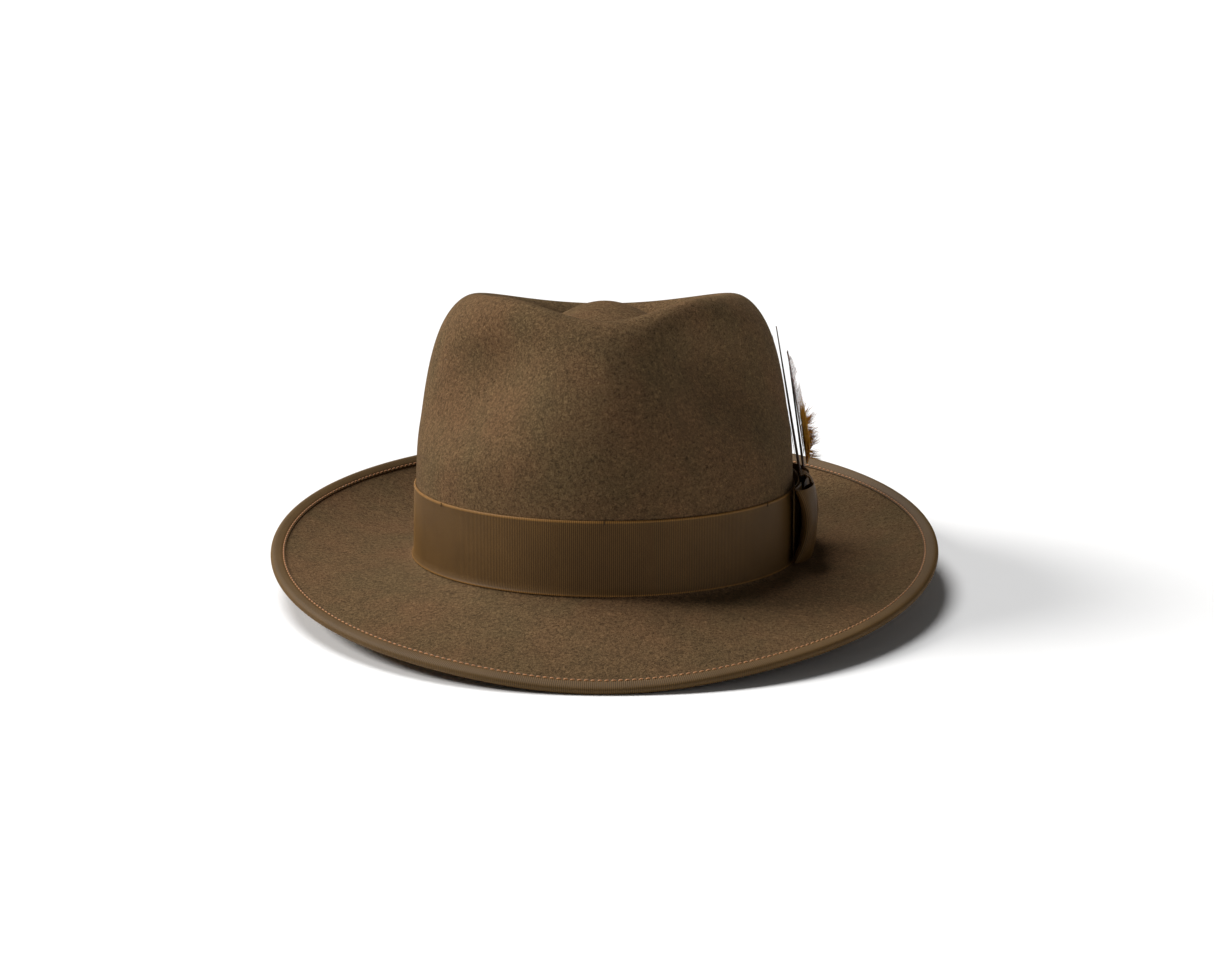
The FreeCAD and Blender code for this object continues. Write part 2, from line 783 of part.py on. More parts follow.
def make_vane(label, half_width, low, high, place, out, thickness="vane_thickness"):
    """A thin leaf-shaped vane: widest a third of the way up, and pointed at the tip."""
    length = high - low
    front = [(0.0, 0.0), (0.6, 0.12), (1.0, 0.36), (0.8, 0.7), (0.35, 0.92), (0.0, 1.0)]
    edges = []
    for side in (1, -1):
        points = [Vector(side * y * half_width, low + z * length, 0) for y, z in front]
        edges.append(curve_through(points if side == 1 else points[::-1]))
    local = place * FreeCAD.Placement(Vector(out, 0, 0), FreeCAD.Rotation())
    padded_outline(label, "YZ_Plane", edges, thickness, local)


def make_wrap():
    """Thread wound round the foot of the stem."""
    outer = doc.addObject("Part::Cylinder", "wrap_outside")
    outer.setExpression("Radius", "Dims.wrap_radius")
    outer.setExpression("Height", "Dims.wrap_length")
    bore = doc.addObject("Part::Cylinder", "wrap_bore")
    bore.setExpression("Radius", "Dims.stem_radius + 0.15")
    bore.setExpression("Height", "Dims.wrap_length")
    wrap = doc.addObject("Part::Cut", "feather_stem_wrap")
    wrap.Base = outer
    wrap.Tool = bore
    low = FreeCAD.Placement(UP * (-1.0 - dim("wrap_length")), FreeCAD.Rotation())
    keep(wrap, "feather_stem_wrap", FEATHER_PLACE * low)


def make_feather():
    behind = -dim("stem_radius") - dim("vane_thickness") - 0.15
    beside = dim("rust_stem_radius") + 0.2
    make_stem("feather_stem", "stem_length", "stem_radius", -dim("stem_below_ribbon"),
              FEATHER_PLACE)
    make_vane("feather_dark_vane", dim("dark_vane_half_width"), 7.5, 69.5, FEATHER_PLACE, behind)
    make_stem("feather_rust_stem", "rust_stem_length", "rust_stem_radius", 0.0, RUST_PLACE)
    make_vane("feather_rust_vane", dim("rust_vane_half_width"), 6.0, 58.0, RUST_PLACE, beside)
    make_vane("feather_hackle", dim("hackle_half_width"), 1.5, 37.5, RUST_PLACE,
              beside + dim("vane_thickness") + 0.4, "hackle_depth")
    make_wrap()


# ---------------------------------------------------------------- the whole hat

make_felt()
make_hat_band()
make_brim_binding()
make_binding_threads()
make_band_tacks()
make_bow_panel()
make_bow_loops()
make_bow_knot()
make_bow_tacks()
make_sweatband()
make_reed()
make_sweatband_stitching()
make_seam_tape()
make_size_tag()
make_inner_bow()
make_lining()
make_tip_piping()
make_tip()
make_feather()
doc.recompute()


def place_all(shift):
    """Tilt the hat back about X as it rests, and move it by the shift."""
    turn = FreeCAD.Rotation(Vector(1, 0, 0), -dim("rest_tilt_degrees"))
    hat = FreeCAD.Placement(shift, turn)
    for item, local in nodes:
        item.Placement = hat * local
    doc.recompute()


# The origin is under the middle of the hat, on the surface that it rests on.
place_all(Vector())
box = FreeCAD.BoundBox()
for item, _ in nodes:
    box.add(item.Shape.optimalBoundingBox(False, False))
place_all(Vector(-box.Center.x, -box.Center.y, -box.ZMin))

for item in doc.Objects:
    if "Invalid" in item.State or "Error" in item.State:
        raise ValueError(f"{item.Label} failed: {item.State}")
os.makedirs("parts", exist_ok=True)
for item, _ in nodes:
    if item.Shape.isNull() or not item.Shape.isValid():
        raise ValueError(f"{item.Label} has no valid shape")
    item.Shape.exportStep(f"parts/{item.Label}.step")
    print(f"{item.Label}: {item.Shape.Volume:.1f} mm3, {len(item.Shape.Solids)} solids")
print(f"size {box.XLength:.2f} x {box.YLength:.2f} x {box.ZLength:.2f}")
print(f"shift {-box.Center.x:.4f}, {-box.Center.y:.4f}, {-box.ZMin:.4f}")
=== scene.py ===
import math

import bpy
import numpy as np
from mathutils import Matrix, Vector


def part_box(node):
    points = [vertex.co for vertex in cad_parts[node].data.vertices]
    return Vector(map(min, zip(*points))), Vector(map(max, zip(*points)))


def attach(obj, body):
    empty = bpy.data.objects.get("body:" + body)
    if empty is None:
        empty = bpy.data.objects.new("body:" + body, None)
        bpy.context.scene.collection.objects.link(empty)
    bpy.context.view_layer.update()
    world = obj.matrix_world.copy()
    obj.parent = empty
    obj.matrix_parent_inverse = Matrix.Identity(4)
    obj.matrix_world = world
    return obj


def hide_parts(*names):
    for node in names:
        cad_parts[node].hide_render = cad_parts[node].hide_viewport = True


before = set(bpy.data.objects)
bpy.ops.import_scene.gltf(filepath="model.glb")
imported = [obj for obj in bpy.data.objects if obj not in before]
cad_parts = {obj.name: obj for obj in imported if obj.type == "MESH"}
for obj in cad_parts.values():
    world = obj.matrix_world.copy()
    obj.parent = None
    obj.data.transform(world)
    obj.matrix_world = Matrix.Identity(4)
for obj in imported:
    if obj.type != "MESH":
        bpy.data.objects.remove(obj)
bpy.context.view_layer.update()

# The shape functions below work in the hat frame, in millimetres: z = 0 at the break where the
# brim meets the crown, the front at -Y, the wearer's left at +X. Angle phi runs round the head,
# 0 at the front and 90 degrees at the wearer's left. to_row() turns them into the row frame.

HALF_WIDTH = 86.7
HALF_LENGTH = 103.5
FELT = 2.2
BRIM = 64.5
FILLET = 4.0
TILT = math.radians(5.5)
MM = 0.001

BREAK_SLOPE = (-16.1, 1.0, 9.0)
EDGE_SLOPE = (-22.0, 14.6, 46.0)
EDGE_LEAN = 1.5
EDGE_DIP = 9.5
EDGE_DIP_SPREAD = 21.4
SLOPE_POWER = 1.2
BRIM_STEPS = 24
RIBBON_WIDTH = 32.6

CROWN_ROWS = [
    (0.3, 0.3, 0.0, 22.0, 22.0, 22.0, 0.0),
    (0.6, 1.2, 0.3, 42.0, 42.0, 42.0, 0.0),
    (1.7, 3.1, 1.0, 63.0, 63.0, 60.0, 0.0),
    (4.5, 6.7, 1.8, 82.0, 82.0, 77.0, 0.0),
    (9.1, 12.5, 2.4, 99.0, 97.0, 91.0, 1.8),
    (16.3, 19.5, 2.8, 113.0, 107.2, 101.0, 4.5),
    (27.2, 28.7, 3.0, 120.8, 112.8, 108.2, 7.3),
    (39.7, 40.0, 3.2, 115.0, 110.2, 104.0, 6.3),
    (50.7, 54.5, 3.6, 99.0, 103.0, 94.0, 1.5),
    (66.7, 76.5, 4.0, 110.5, 110.5, 110.5, 0.0),
    (HALF_WIDTH, HALF_LENGTH, 4.0, 118.0, 118.0, 118.0, 0.0),
]
CORNER_ANGLE = 39.0
CORNER_SPREAD = 33.0

DENT_ANGLE = 46.0
DENT_INNER = 27.0
DENT_OUTER = 24.5
DENT_HEIGHT = 92.6
DENT_ABOVE = 21.0
DENT_BELOW = 30.0
DENT_DEPTH = 15.3
DENT_SHEAR = 0.31
DENT_END = 0.80
DENT_FADE = 0.25
DENT_FOOT = 46.0
DENT_FOOT_FADE = 22.0

UP = np.array([0.0, 0.0, 1.0])


# ---------------------------------------------------------------- the felt's shape

def around(phi, front, side, back):
    turn = np.cos(phi)
    return side + (front - back) / 2 * turn + ((front + back) / 2 - side) * turn * turn


def from_front(phi):
    return np.abs(np.degrees(np.arctan2(np.sin(phi), np.cos(phi))))


def oval(phi, half_width, half_length, shift=0.0, height=0.0):
    return np.stack([half_width * np.sin(phi), shift - half_length * np.cos(phi),
                     height + 0 * phi], -1)


def unit(v):
    return v / np.maximum(np.linalg.norm(v, axis=-1, keepdims=True), 1e-12)


def corner(phi):
    return oval(phi, HALF_WIDTH, HALF_LENGTH)


def outward(phi):
    return unit(oval(phi, 1 / HALF_WIDTH, 1 / HALF_LENGTH))


def brim_point(phi, distance):
    """Top of the brim at a distance from the break, measured along the felt."""
    first = around(phi, *BREAK_SLOPE)
    last = around(phi, *EDGE_SLOPE) + EDGE_LEAN * np.sin(phi)
    last = last - EDGE_DIP * np.exp(-(from_front(phi) / EDGE_DIP_SPREAD) ** 2)
    part_way = (np.arange(BRIM_STEPS) + 0.5) / BRIM_STEPS * distance / BRIM
    slope = np.radians(first[:, None] + (last - first)[:, None] * part_way ** SLOPE_POWER)
    out = np.cos(slope).mean(1) * distance
    rise = np.sin(slope).mean(1) * distance
    return corner(phi) + outward(phi) * out[:, None] + UP * rise[:, None]


def crown_control(phi, row):
    side_inset, end_inset, shift, side, front, back, lift = row
    height = around(phi, front, side, back)
    for middle in (CORNER_ANGLE, -CORNER_ANGLE):
        height = height + lift * np.exp(-((from_front(phi) - middle) / CORNER_SPREAD) ** 2)
    return oval(phi, HALF_WIDTH - side_inset, HALF_LENGTH - end_inset, shift, height)


def dent(phi, height, along):
    """How far the felt is pinched in, for each angle and point up the crown."""
    drop = DENT_HEIGHT - height
    off = from_front(phi)[:, None] - DENT_ANGLE - DENT_SHEAR * np.clip(drop, -12, 30)
    across = np.exp(-(off / np.where(off < 0, DENT_INNER, DENT_OUTER)) ** 2)
    upright = np.exp(-(drop / np.where(drop > 0, DENT_BELOW, DENT_ABOVE)) ** 2)
    depth = DENT_DEPTH * across * upright
    for room, reach in ((DENT_END - along, DENT_FADE), (height - DENT_FOOT, DENT_FOOT_FADE)):
        fade = np.clip(room / reach, 0, 1)
        depth = depth * fade * fade * (3 - 2 * fade)
    return depth


def crown_profile(phi, steps):
    """Points up the outside of the crown: an array over angle and step."""
    foot = corner(phi) + UP * FILLET
    controls = [crown_control(phi, row) for row in CROWN_ROWS]
    net = [foot * 2 - controls[0], foot] + controls
    net.append(crown_control(phi + np.pi, CROWN_ROWS[-2]))
    spans = len(net) - 3
    points = []
    for place in np.linspace(0, spans, steps + 1):
        i = min(int(place), spans - 1)
        f = place - i
        weights = ((1 - f) ** 3 / 6, (3 * f ** 3 - 6 * f ** 2 + 4) / 6,
                   (-3 * f ** 3 + 3 * f ** 2 + 3 * f + 1) / 6, f ** 3 / 6)
        points.append(sum(w * net[i + k] for k, w in enumerate(weights)))
    points = np.stack(points, 1)
    along = np.linspace(0, 1, steps + 1)
    depth = dent(phi, points[..., 2], along)
    return points - outward(phi)[:, None] * depth[..., None]


def fillet_points(phi, steps):
    low = brim_point(phi, FILLET)
    mid = corner(phi)
    high = mid + UP * FILLET
    return [low * (1 - f) ** 2 + mid * 2 * f * (1 - f) + high * f ** 2
            for f in np.arange(1, steps) / steps]


def felt_outside(phi, brim_steps, crown_steps):
    reach = np.linspace(BRIM, FILLET, brim_steps)
    rows = [brim_point(phi, distance) for distance in reach] + fillet_points(phi, 6)
    return np.concatenate([np.stack(rows, 1), crown_profile(phi, crown_steps)], 1)


def wall(phi, heights, gap):
    """Points of the crown's wall at given heights, a gap (mm) outside the felt."""
    profile = np.concatenate([np.stack(fillet_points(phi, 8), 1), crown_profile(phi, 80)], 1)
    profile = profile[:, :60]
    heights = np.asarray(heights, float)
    points = np.empty((len(phi), len(heights), 3))
    for i in range(len(phi)):
        for axis in range(3):
            points[i, :, axis] = np.interp(heights, profile[i, :, 2], profile[i, :, axis])
    return points + outward(phi)[:, None] * np.broadcast_to(gap, heights.shape)[None, :, None]


def turned(points):
    """The hat frame tilted back to how the hat rests, before it is moved to the origin."""
    c, s = math.cos(TILT), math.sin(TILT)
    x, y, z = np.moveaxis(np.asarray(points, float), -1, 0)
    return np.stack([x, y * c + z * s, z * c - y * s], -1)


def find_shift():
    """Where the tilted hat frame's origin lies in the row frame, from the felt's own box."""
    phi = np.linspace(0, 2 * np.pi, 720, endpoint=False)
    felt = turned(felt_outside(phi, 8, 60)).reshape(-1, 3)
    low, high = (np.array(c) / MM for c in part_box("felt_body"))
    along = (low[:2] + high[:2]) / 2 - (felt.min(0) + felt.max(0))[:2] / 2
    return np.array([along[0], along[1], high[2] - felt[:, 2].max()])


SHIFT = find_shift()


def to_row(points):
    return (turned(points) + SHIFT) * MM


# ---------------------------------------------------------------- meshes

def new_object(name, vertices, faces, uv=None, smooth=True, sharp=None):
    mesh = bpy.data.meshes.new(name)
    mesh.from_pydata([tuple(v) for v in vertices], [], faces)
    if uv is not None:
        layer = mesh.uv_layers.new(name="UVMap")
        layer.data.foreach_set("uv", np.asarray(uv, np.float32).ravel())
    if smooth:
        mesh.shade_smooth()
    if sharp is not None:
        mesh.set_sharp_from_angle(angle=math.radians(sharp))
    mesh.validate()
    mesh.update()
    item = bpy.data.objects.new(name, mesh)
    bpy.context.scene.collection.objects.link(item)
    return item


def grid_faces(count_u, count_v, closed_u, closed_v):
    i = np.arange(count_u if closed_u else count_u - 1)
    j = np.arange(count_v if closed_v else count_v - 1)
    i, j = (a.ravel() for a in np.meshgrid(i, j, indexing="ij"))
    i2, j2 = (i + 1) % count_u, (j + 1) % count_v
    return np.stack([i * count_v + j, i2 * count_v + j, i2 * count_v + j2, i * count_v + j2], 1)


def grid_uv(u, v):
    """UV corners of a grid's faces; u and v have one value more than a closed side has rows."""
    i = np.arange(len(u) - 1)
    j = np.arange(len(v) - 1)
    i, j = (a.ravel() for a in np.meshgrid(i, j, indexing="ij"))
    a = np.stack([u[i], v[j]], 1)
    b = np.stack([u[i + 1], v[j]], 1)
    c = np.stack([u[i + 1], v[j + 1]], 1)
    d = np.stack([u[i], v[j + 1]], 1)
    return np.stack([a, b, c, d], 1)


def lengths(points):
    """Distance along a line of points, from 0."""
    steps = np.linalg.norm(np.diff(points, axis=0), axis=1)
    return np.concatenate([[0.0], np.cumsum(steps)])


def girth(line, steps=1441):
    """The length of a closed line round the hat, given as a function of the angle."""
    return lengths(line(np.linspace(0, 2 * np.pi, steps)))[-1]


def set_tone(item, tones):
    """Store a number from 0 to 1 on each vertex, for the material to colour by."""
    layer = item.data.attributes.new("tone", "FLOAT", "POINT")
    layer.data.foreach_set("value", np.clip(np.ravel(tones), 0, 1).astype(np.float32))


def ring_object(name, points, sharp=None):
    """A closed ring: points over angle and place round the section, both closed."""
    loop_u = np.concatenate([points, points[:1]])[:, 0]
    loop_v = np.concatenate([points[0], points[0, :1]])
    uv = grid_uv(lengths(loop_u) * MM, lengths(loop_v) * MM)
    faces = grid_faces(points.shape[0], points.shape[1], True, True)
    return new_object(name, to_row(points.reshape(-1, 3)), faces.tolist(), uv, sharp=sharp)


def strip_object(name, front, back, sharp=60):
    """A ribbon or strip with thickness: two grids of the same size, joined round their rim."""
    count_u, count_v = front.shape[:2]
    size = count_u * count_v
    faces = grid_faces(count_u, count_v, False, False)
    u = lengths(front[:, count_v // 2]) * MM
    v = lengths(front[count_u // 2]) * MM
    uv = grid_uv(u, v)
    all_faces = faces.tolist() + (faces[:, ::-1] + size).tolist()
    all_uv = [uv.reshape(-1, 2), uv[:, ::-1].reshape(-1, 2)]
    rim = [i * count_v for i in range(count_u)]
    rim += [(count_u - 1) * count_v + j for j in range(1, count_v)]
    rim += [i * count_v + count_v - 1 for i in range(count_u - 2, -1, -1)]
    rim += [j for j in range(count_v - 2, 0, -1)]
    place = np.stack([np.repeat(u, count_v), np.tile(v, count_u)], 1)
    for a, b in zip(rim, rim[1:] + rim[:1]):
        all_faces.append([b, a, a + size, b + size])
        all_uv.append(place[[b, a, a, b]])
    vertices = np.concatenate([front.reshape(-1, 3), back.reshape(-1, 3)])
    return new_object(name, to_row(vertices), all_faces, np.concatenate(all_uv), sharp=sharp)


def normals_of(points, closed_u, closed_v=False):
    """Unit normals of a grid, along dv cross du."""
    if closed_u:
        du = np.roll(points, -1, 0) - np.roll(points, 1, 0)
    else:
        du = np.gradient(points, axis=0)
    if closed_v:
        dv = np.roll(points, -1, 1) - np.roll(points, 1, 1)
    else:
        dv = np.gradient(points, axis=1)
    return unit(np.cross(du, dv))


def even_angles(line, count):
    """Angles at which a closed line round the hat has evenly spaced points."""
    phi = np.linspace(0, 2 * np.pi, 1441)
    place = lengths(line(phi))
    return np.interp(np.arange(count) / count * place[-1], place, phi)


# ---------------------------------------------------------------- materials

def srgb(red, green, blue):
    """A colour given as 0 to 255 screen values, as the linear colour that a shader takes."""
    out = []
    for value in (red, green, blue):
        value = value / 255
        out.append(value / 12.92 if value <= 0.04045 else ((value + 0.055) / 1.055) ** 2.4)
    return (*out, 1.0)


def scaled(colour, factor):
    return (*(min(1.0, c * factor) for c in colour[:3]), 1.0)


class Shader:
    """A small helper that builds one material's nodes."""

    def __init__(self, name, roughness=0.8, **settings):
        self.material = bpy.data.materials.new(name)
        self.material.use_nodes = True
        self.tree = self.material.node_tree
        self.surface = self.tree.nodes["Principled BSDF"]
        self.set(self.surface, Roughness=roughness, **settings)
        self.coordinates = self.tree.nodes.new("ShaderNodeTexCoord")

    def feed(self, socket, value):
        """Link a socket to another node's output, or set its value."""
        if isinstance(value, bpy.types.NodeSocket):
            self.tree.links.new(value, socket)
        else:
            socket.default_value = value

    def set(self, node, **inputs):
        for key, value in inputs.items():
            self.feed(node.inputs[key.replace("_", " ")], value)
        return node

    def add(self, kind, **inputs):
        return self.set(self.tree.nodes.new("ShaderNode" + kind), **inputs)

    def place(self, source="Object", stretch=(1, 1, 1), turn=(0, 0, 0)):
        """Coordinates in millimetres, from the object's own place or from its UV map."""
        mapping = self.add("Mapping", Vector=self.coordinates.outputs[source])
        mapping.inputs["Scale"].default_value = [s / MM for s in stretch]
        mapping.inputs["Rotation"].default_value = [math.radians(t) for t in turn]
        return mapping.outputs["Vector"]

    def noise(self, vector, scale, detail=3.0, roughness=0.6, distortion=0.0):
        """Noise with about scale features to the millimetre."""
        node = self.add("TexNoise", Vector=vector, Scale=scale, Detail=detail,
                        Roughness=roughness, Distortion=distortion)
        return node.outputs["Fac"]

    def ramp(self, factor, *stops):
        """A colour ramp through (place, colour) stops."""
        node = self.add("ValToRGB", Fac=factor)
        ramp = node.color_ramp
        while len(ramp.elements) < len(stops):
            ramp.elements.new(0.5)
        for element, (place, colour) in zip(ramp.elements, stops):
            element.position = place
            element.color = colour
        return node.outputs["Color"]

    def spread(self, factor, low, high, first=0.0, last=1.0):
        node = self.add("MapRange", Value=factor)
        for key, value in (("From Min", low), ("From Max", high), ("To Min", first),
                           ("To Max", last)):
            node.inputs[key].default_value = value
        return node.outputs["Result"]

    def mix(self, factor, first, second, blend="MIX"):
        node = self.tree.nodes.new("ShaderNodeMix")
        node.data_type = "RGBA"
        node.blend_type = blend
        for place, value in ((0, factor), (6, first), (7, second)):
            self.feed(node.inputs[place], value)
        return node.outputs[2]

    def maths(self, operation, first, second=0.0):
        node = self.tree.nodes.new("ShaderNodeMath")
        node.operation = operation
        for place, value in enumerate((first, second)):
            self.feed(node.inputs[place], value)
        return node.outputs[0]

    def bump(self, height, strength, distance_mm, below=None):
        node = self.add("Bump", Height=height, Strength=strength, Distance=distance_mm * MM)
        if below is not None:
            self.tree.links.new(below, node.inputs["Normal"])
        return node.outputs["Normal"]

    def finish(self, colour, normal=None):
        self.set(self.surface, Base_Color=colour)
        if normal is not None:
            self.tree.links.new(normal, self.surface.inputs["Normal"])
        return self.material


def felt_material(name, base):
    """Brushed fur felt: matte, with a close grain and short fibres that catch the light."""
    s = Shader(name, roughness=0.95, Specular_IOR_Level=0.06, Sheen_Weight=0.05,
               Sheen_Roughness=0.5, Sheen_Tint=scaled(base, 4.5))
    place = s.place()
    patches = s.noise(place, 0.03, 2.0)
    mottle = s.noise(place, 0.16, 3.0, 0.6)
    grain = s.noise(place, 0.75, 3.0, 0.75, 0.8)
    fibre = s.noise(place, 1.9, 2.0, 0.8, 1.6)
    colour = s.mix(s.spread(grain, 0.30, 0.70), scaled(base, 0.46), scaled(base, 1.62))
    flecks = s.mix(s.spread(fibre, 0.38, 0.72), (0.60, 0.59, 0.58, 1), (1.62, 1.58, 1.50, 1))
    colour = s.mix(1.0, colour, flecks, "MULTIPLY")
    soft = s.mix(s.spread(mottle, 0.3, 0.7), (0.90, 0.91, 0.92, 1), (1.10, 1.09, 1.08, 1))
    colour = s.mix(1.0, colour, soft, "MULTIPLY")
    worn = s.mix(s.spread(patches, 0.35, 0.65), (0.93, 0.98, 0.96, 1), (1.08, 1.01, 1.0, 1))
    colour = s.mix(1.0, colour, worn, "MULTIPLY")
    rough = s.bump(grain, 0.9, 0.8)
    return s.finish(colour, s.bump(fibre, 0.8, 0.35, rough))


def ribbon_material(name, base, edge=None):
    """Grosgrain: its ribs are real geometry, with a tone from 0 in the grooves to 1; this
    paints shade in the grooves and a highlight on the crests, adds the fine warp threads,
    a low sheen, and along a wide ribbon its paler selvedges, edge being the ribbon's width."""
    s = Shader(name, roughness=0.55, Specular_IOR_Level=0.16, Sheen_Weight=0.05,
               Sheen_Roughness=0.35, Sheen_Tint=scaled(base, 8.0))
    threads = s.noise(s.place("UV", (1.2, 6.0, 1.0)), 1.0, 2.0, 0.6)
    cloud = s.noise(s.place(), 0.06, 2.0)
    colour = s.mix(s.spread(threads, 0.3, 0.7), scaled(base, 0.74), scaled(base, 1.28))
    tone = s.mix(s.spread(cloud, 0.3, 0.7), (0.92, 0.92, 0.92, 1), (1.08, 1.08, 1.08, 1))
    colour = s.mix(1.0, colour, tone, "MULTIPLY")
    rib = s.add("Attribute")
    rib.attribute_name = "tone"
    # Painted shade in the grooves between the ribs and a painted highlight on the rib crests.
    groove = s.mix(rib.outputs["Fac"], (0.34, 0.32, 0.30, 1), (1.32, 1.32, 1.32, 1))
    colour = s.mix(1.0, colour, groove, "MULTIPLY")
    if edge is not None:
        across = s.add("SeparateXYZ", Vector=s.coordinates.outputs["UV"]).outputs["Y"]
        from_middle = s.maths("ABSOLUTE", s.maths("SUBTRACT", across, edge * MM / 2))
        near_edge = s.spread(from_middle, (edge / 2 - 0.9) * MM, (edge / 2 - 0.6) * MM)
        pale = s.mix(1.0, colour, (2.1, 2.0, 1.8, 1), "MULTIPLY")
        colour = s.mix(near_edge, colour, pale)
    return s.finish(colour, s.bump(threads, 0.35, 0.06))


def thread_material(name, base):
    s = Shader(name, roughness=0.6, Sheen_Weight=0.3, Sheen_Roughness=0.4)
    twist = s.noise(s.place(stretch=(1, 1, 1)), 3.5, 2.0, 0.7)
    colour = s.mix(s.spread(twist, 0.3, 0.7), scaled(base, 0.65), scaled(base, 1.3))
    return s.finish(colour, s.bump(twist, 0.4, 0.08))


def leather_material(name, base):
    """Smooth tanned leather with a fine pebble, and darker where it has been handled."""
    s = Shader(name, roughness=0.42, Specular_IOR_Level=0.45)
    place = s.place()
    cells = s.add("TexVoronoi", Vector=place, Scale=1.6)
    pores = s.noise(place, 3.0, 3.0)
    cloud = s.noise(place, 0.08, 3.0)
    colour = s.mix(s.spread(cloud, 0.3, 0.75), scaled(base, 0.72), scaled(base, 1.25))
    fine = s.mix(s.spread(pores, 0.35, 0.7), (0.85, 0.85, 0.85, 1), (1.1, 1.1, 1.1, 1))
    colour = s.mix(1.0, colour, fine, "MULTIPLY")
    grain = s.bump(cells.outputs["Distance"], 0.35, 0.12)
    return s.finish(colour, s.bump(pores, 0.2, 0.05, grain))


def satin_material(name, base):
    """Lining satin: smooth, with a fine weave and a strong sheen along its threads."""
    s = Shader(name, roughness=0.32, Specular_IOR_Level=0.5, Sheen_Weight=0.5,
               Sheen_Roughness=0.3, Anisotropic=0.5)
    weave = s.noise(s.place(stretch=(5, 1, 5)), 1.0, 2.0)
    cloud = s.noise(s.place(), 0.05, 2.0)
    colour = s.mix(s.spread(weave, 0.3, 0.7), scaled(base, 0.85), scaled(base, 1.15))
    tone = s.mix(s.spread(cloud, 0.3, 0.7), (0.9, 0.9, 0.9, 1), (1.1, 1.1, 1.1, 1))
    colour = s.mix(1.0, colour, tone, "MULTIPLY")
    return s.finish(colour, s.bump(weave, 0.15, 0.04))


def plain_material(name, base, roughness, variation=0.15, grain=1.0, **settings):
    """Paper, reed, film and tape: a base colour with a fine variation and a little tooth."""
    s = Shader(name, roughness=roughness, **settings)
    tooth = s.noise(s.place(), grain, 3.0)
    low, high = scaled(base, 1 - variation), scaled(base, 1 + variation)
    colour = s.mix(s.spread(tooth, 0.3, 0.7), low, high)
    return s.finish(colour, s.bump(tooth, 0.2, 0.05))


def feather_material(name, stops, roughness=0.5):
    """Barbs coloured by the tone that each one's vertices carry."""
    s = Shader(name, roughness=roughness, Specular_IOR_Level=0.4, Sheen_Weight=0.4,
               Sheen_Roughness=0.3)
    tone = s.add("Attribute")
    tone.attribute_name = "tone"
    colour = s.ramp(tone.outputs["Fac"], *stops)
    streak = s.noise(s.place(), 2.5, 2.0)
    shade = s.mix(s.spread(streak, 0.3, 0.7), (0.8, 0.8, 0.8, 1), (1.2, 1.2, 1.2, 1))
    return s.finish(s.mix(1.0, colour, shade, "MULTIPLY"))


FELT_COLOUR = (0.138, 0.0865, 0.044, 1.0)
RIBBON_COLOUR = (0.124, 0.0645, 0.0178, 1.0)
BINDING_COLOUR = (0.125, 0.071, 0.024, 1.0)

MATERIALS = {
    "felt": felt_material("brown_felt", FELT_COLOUR),
    "band_ribbon": ribbon_material("band_grosgrain", RIBBON_COLOUR),
    "band_edge": ribbon_material("band_selvedge", RIBBON_COLOUR, RIBBON_WIDTH),
    "binding_ribbon": ribbon_material("binding_grosgrain", BINDING_COLOUR),
    "binding_thread": thread_material("orange_thread", srgb(176, 118, 66)),
    "dark_thread": thread_material("dark_thread", srgb(52, 40, 30)),
    "sweatband_thread": thread_material("tan_thread", srgb(160, 122, 84)),
    "sweatband_leather": leather_material("brown_leather", srgb(120, 78, 48)),
    "lining_satin": satin_material("brown_satin", srgb(112, 88, 62)),
    "reed_plastic": plain_material("reed", srgb(222, 216, 200), 0.35),
    "cotton_tape": ribbon_material("dark_tape", srgb(70, 52, 38)),
    "paper": plain_material("blank_paper", srgb(228, 223, 208), 0.8, 0.05),
    "clear_film": plain_material("clear_film", srgb(250, 250, 250), 0.12, 0.02, 0.2,
                                 Alpha=0.18, Specular_IOR_Level=0.6),
    "feather_shaft": plain_material("quill", srgb(74, 50, 34), 0.35, 0.3, 0.8),
    "dark_feather": feather_material("dark_barbs", [
        (0.0, srgb(20, 17, 15)), (0.6, srgb(46, 38, 30)), (1.0, srgb(82, 66, 48))]),
    "rust_feather": feather_material("rust_barbs", [
        (0.0, srgb(58, 26, 14)), (0.45, srgb(122, 56, 24)), (0.8, srgb(158, 82, 32)),
        (1.0, srgb(52, 34, 22))]),
    "gold_hackle": feather_material("gold_barbs", [
        (0.0, srgb(96, 52, 14)), (0.35, srgb(178, 110, 18)), (0.7, srgb(222, 160, 36)),
        (1.0, srgb(236, 190, 84))]),
}


def dress(item, slot, body="hat", *replaced, look=None):
    """Give a piece its finish, and say what it rides on and which nodes it stands for."""
    item.data.materials.clear()
    item.data.materials.append(MATERIALS[look or slot])
    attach(item, body)
    if replaced:
        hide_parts(*replaced)
    return item


# ---------------------------------------------------------------- camera and light

CAMERA_DISTANCE = 1400.0
CAMERA_ELEVATION = math.radians(9.88)     # above the brim line, in the hat frame
CAMERA_AIM = np.array([1.1, 0.0, 31.0])
FOCAL_LENGTHS = 2.18                      # focal length over picture width, times distance
PICTURE_WIDTH = 1214


def make_camera():
    """The camera, aimed at the foot of the crown from a little above the brim."""
    back = np.array([0.0, -math.cos(CAMERA_ELEVATION), math.sin(CAMERA_ELEVATION)])
    place, aim = to_row(np.stack([CAMERA_AIM + back * CAMERA_DISTANCE, CAMERA_AIM]))
    data = bpy.data.cameras.new("camera")
    data.sensor_fit = "HORIZONTAL"
    data.sensor_width = 36.0
    data.lens = FOCAL_LENGTHS * CAMERA_DISTANCE / PICTURE_WIDTH * data.sensor_width
    data.clip_start = 0.05
    data.clip_end = 50.0
    camera = bpy.data.objects.new("camera", data)
    camera.location = place
    camera.rotation_euler = Vector(aim - place).to_track_quat("-Z", "Y").to_euler()
    bpy.context.scene.collection.objects.link(camera)
    bpy.context.scene.camera = camera


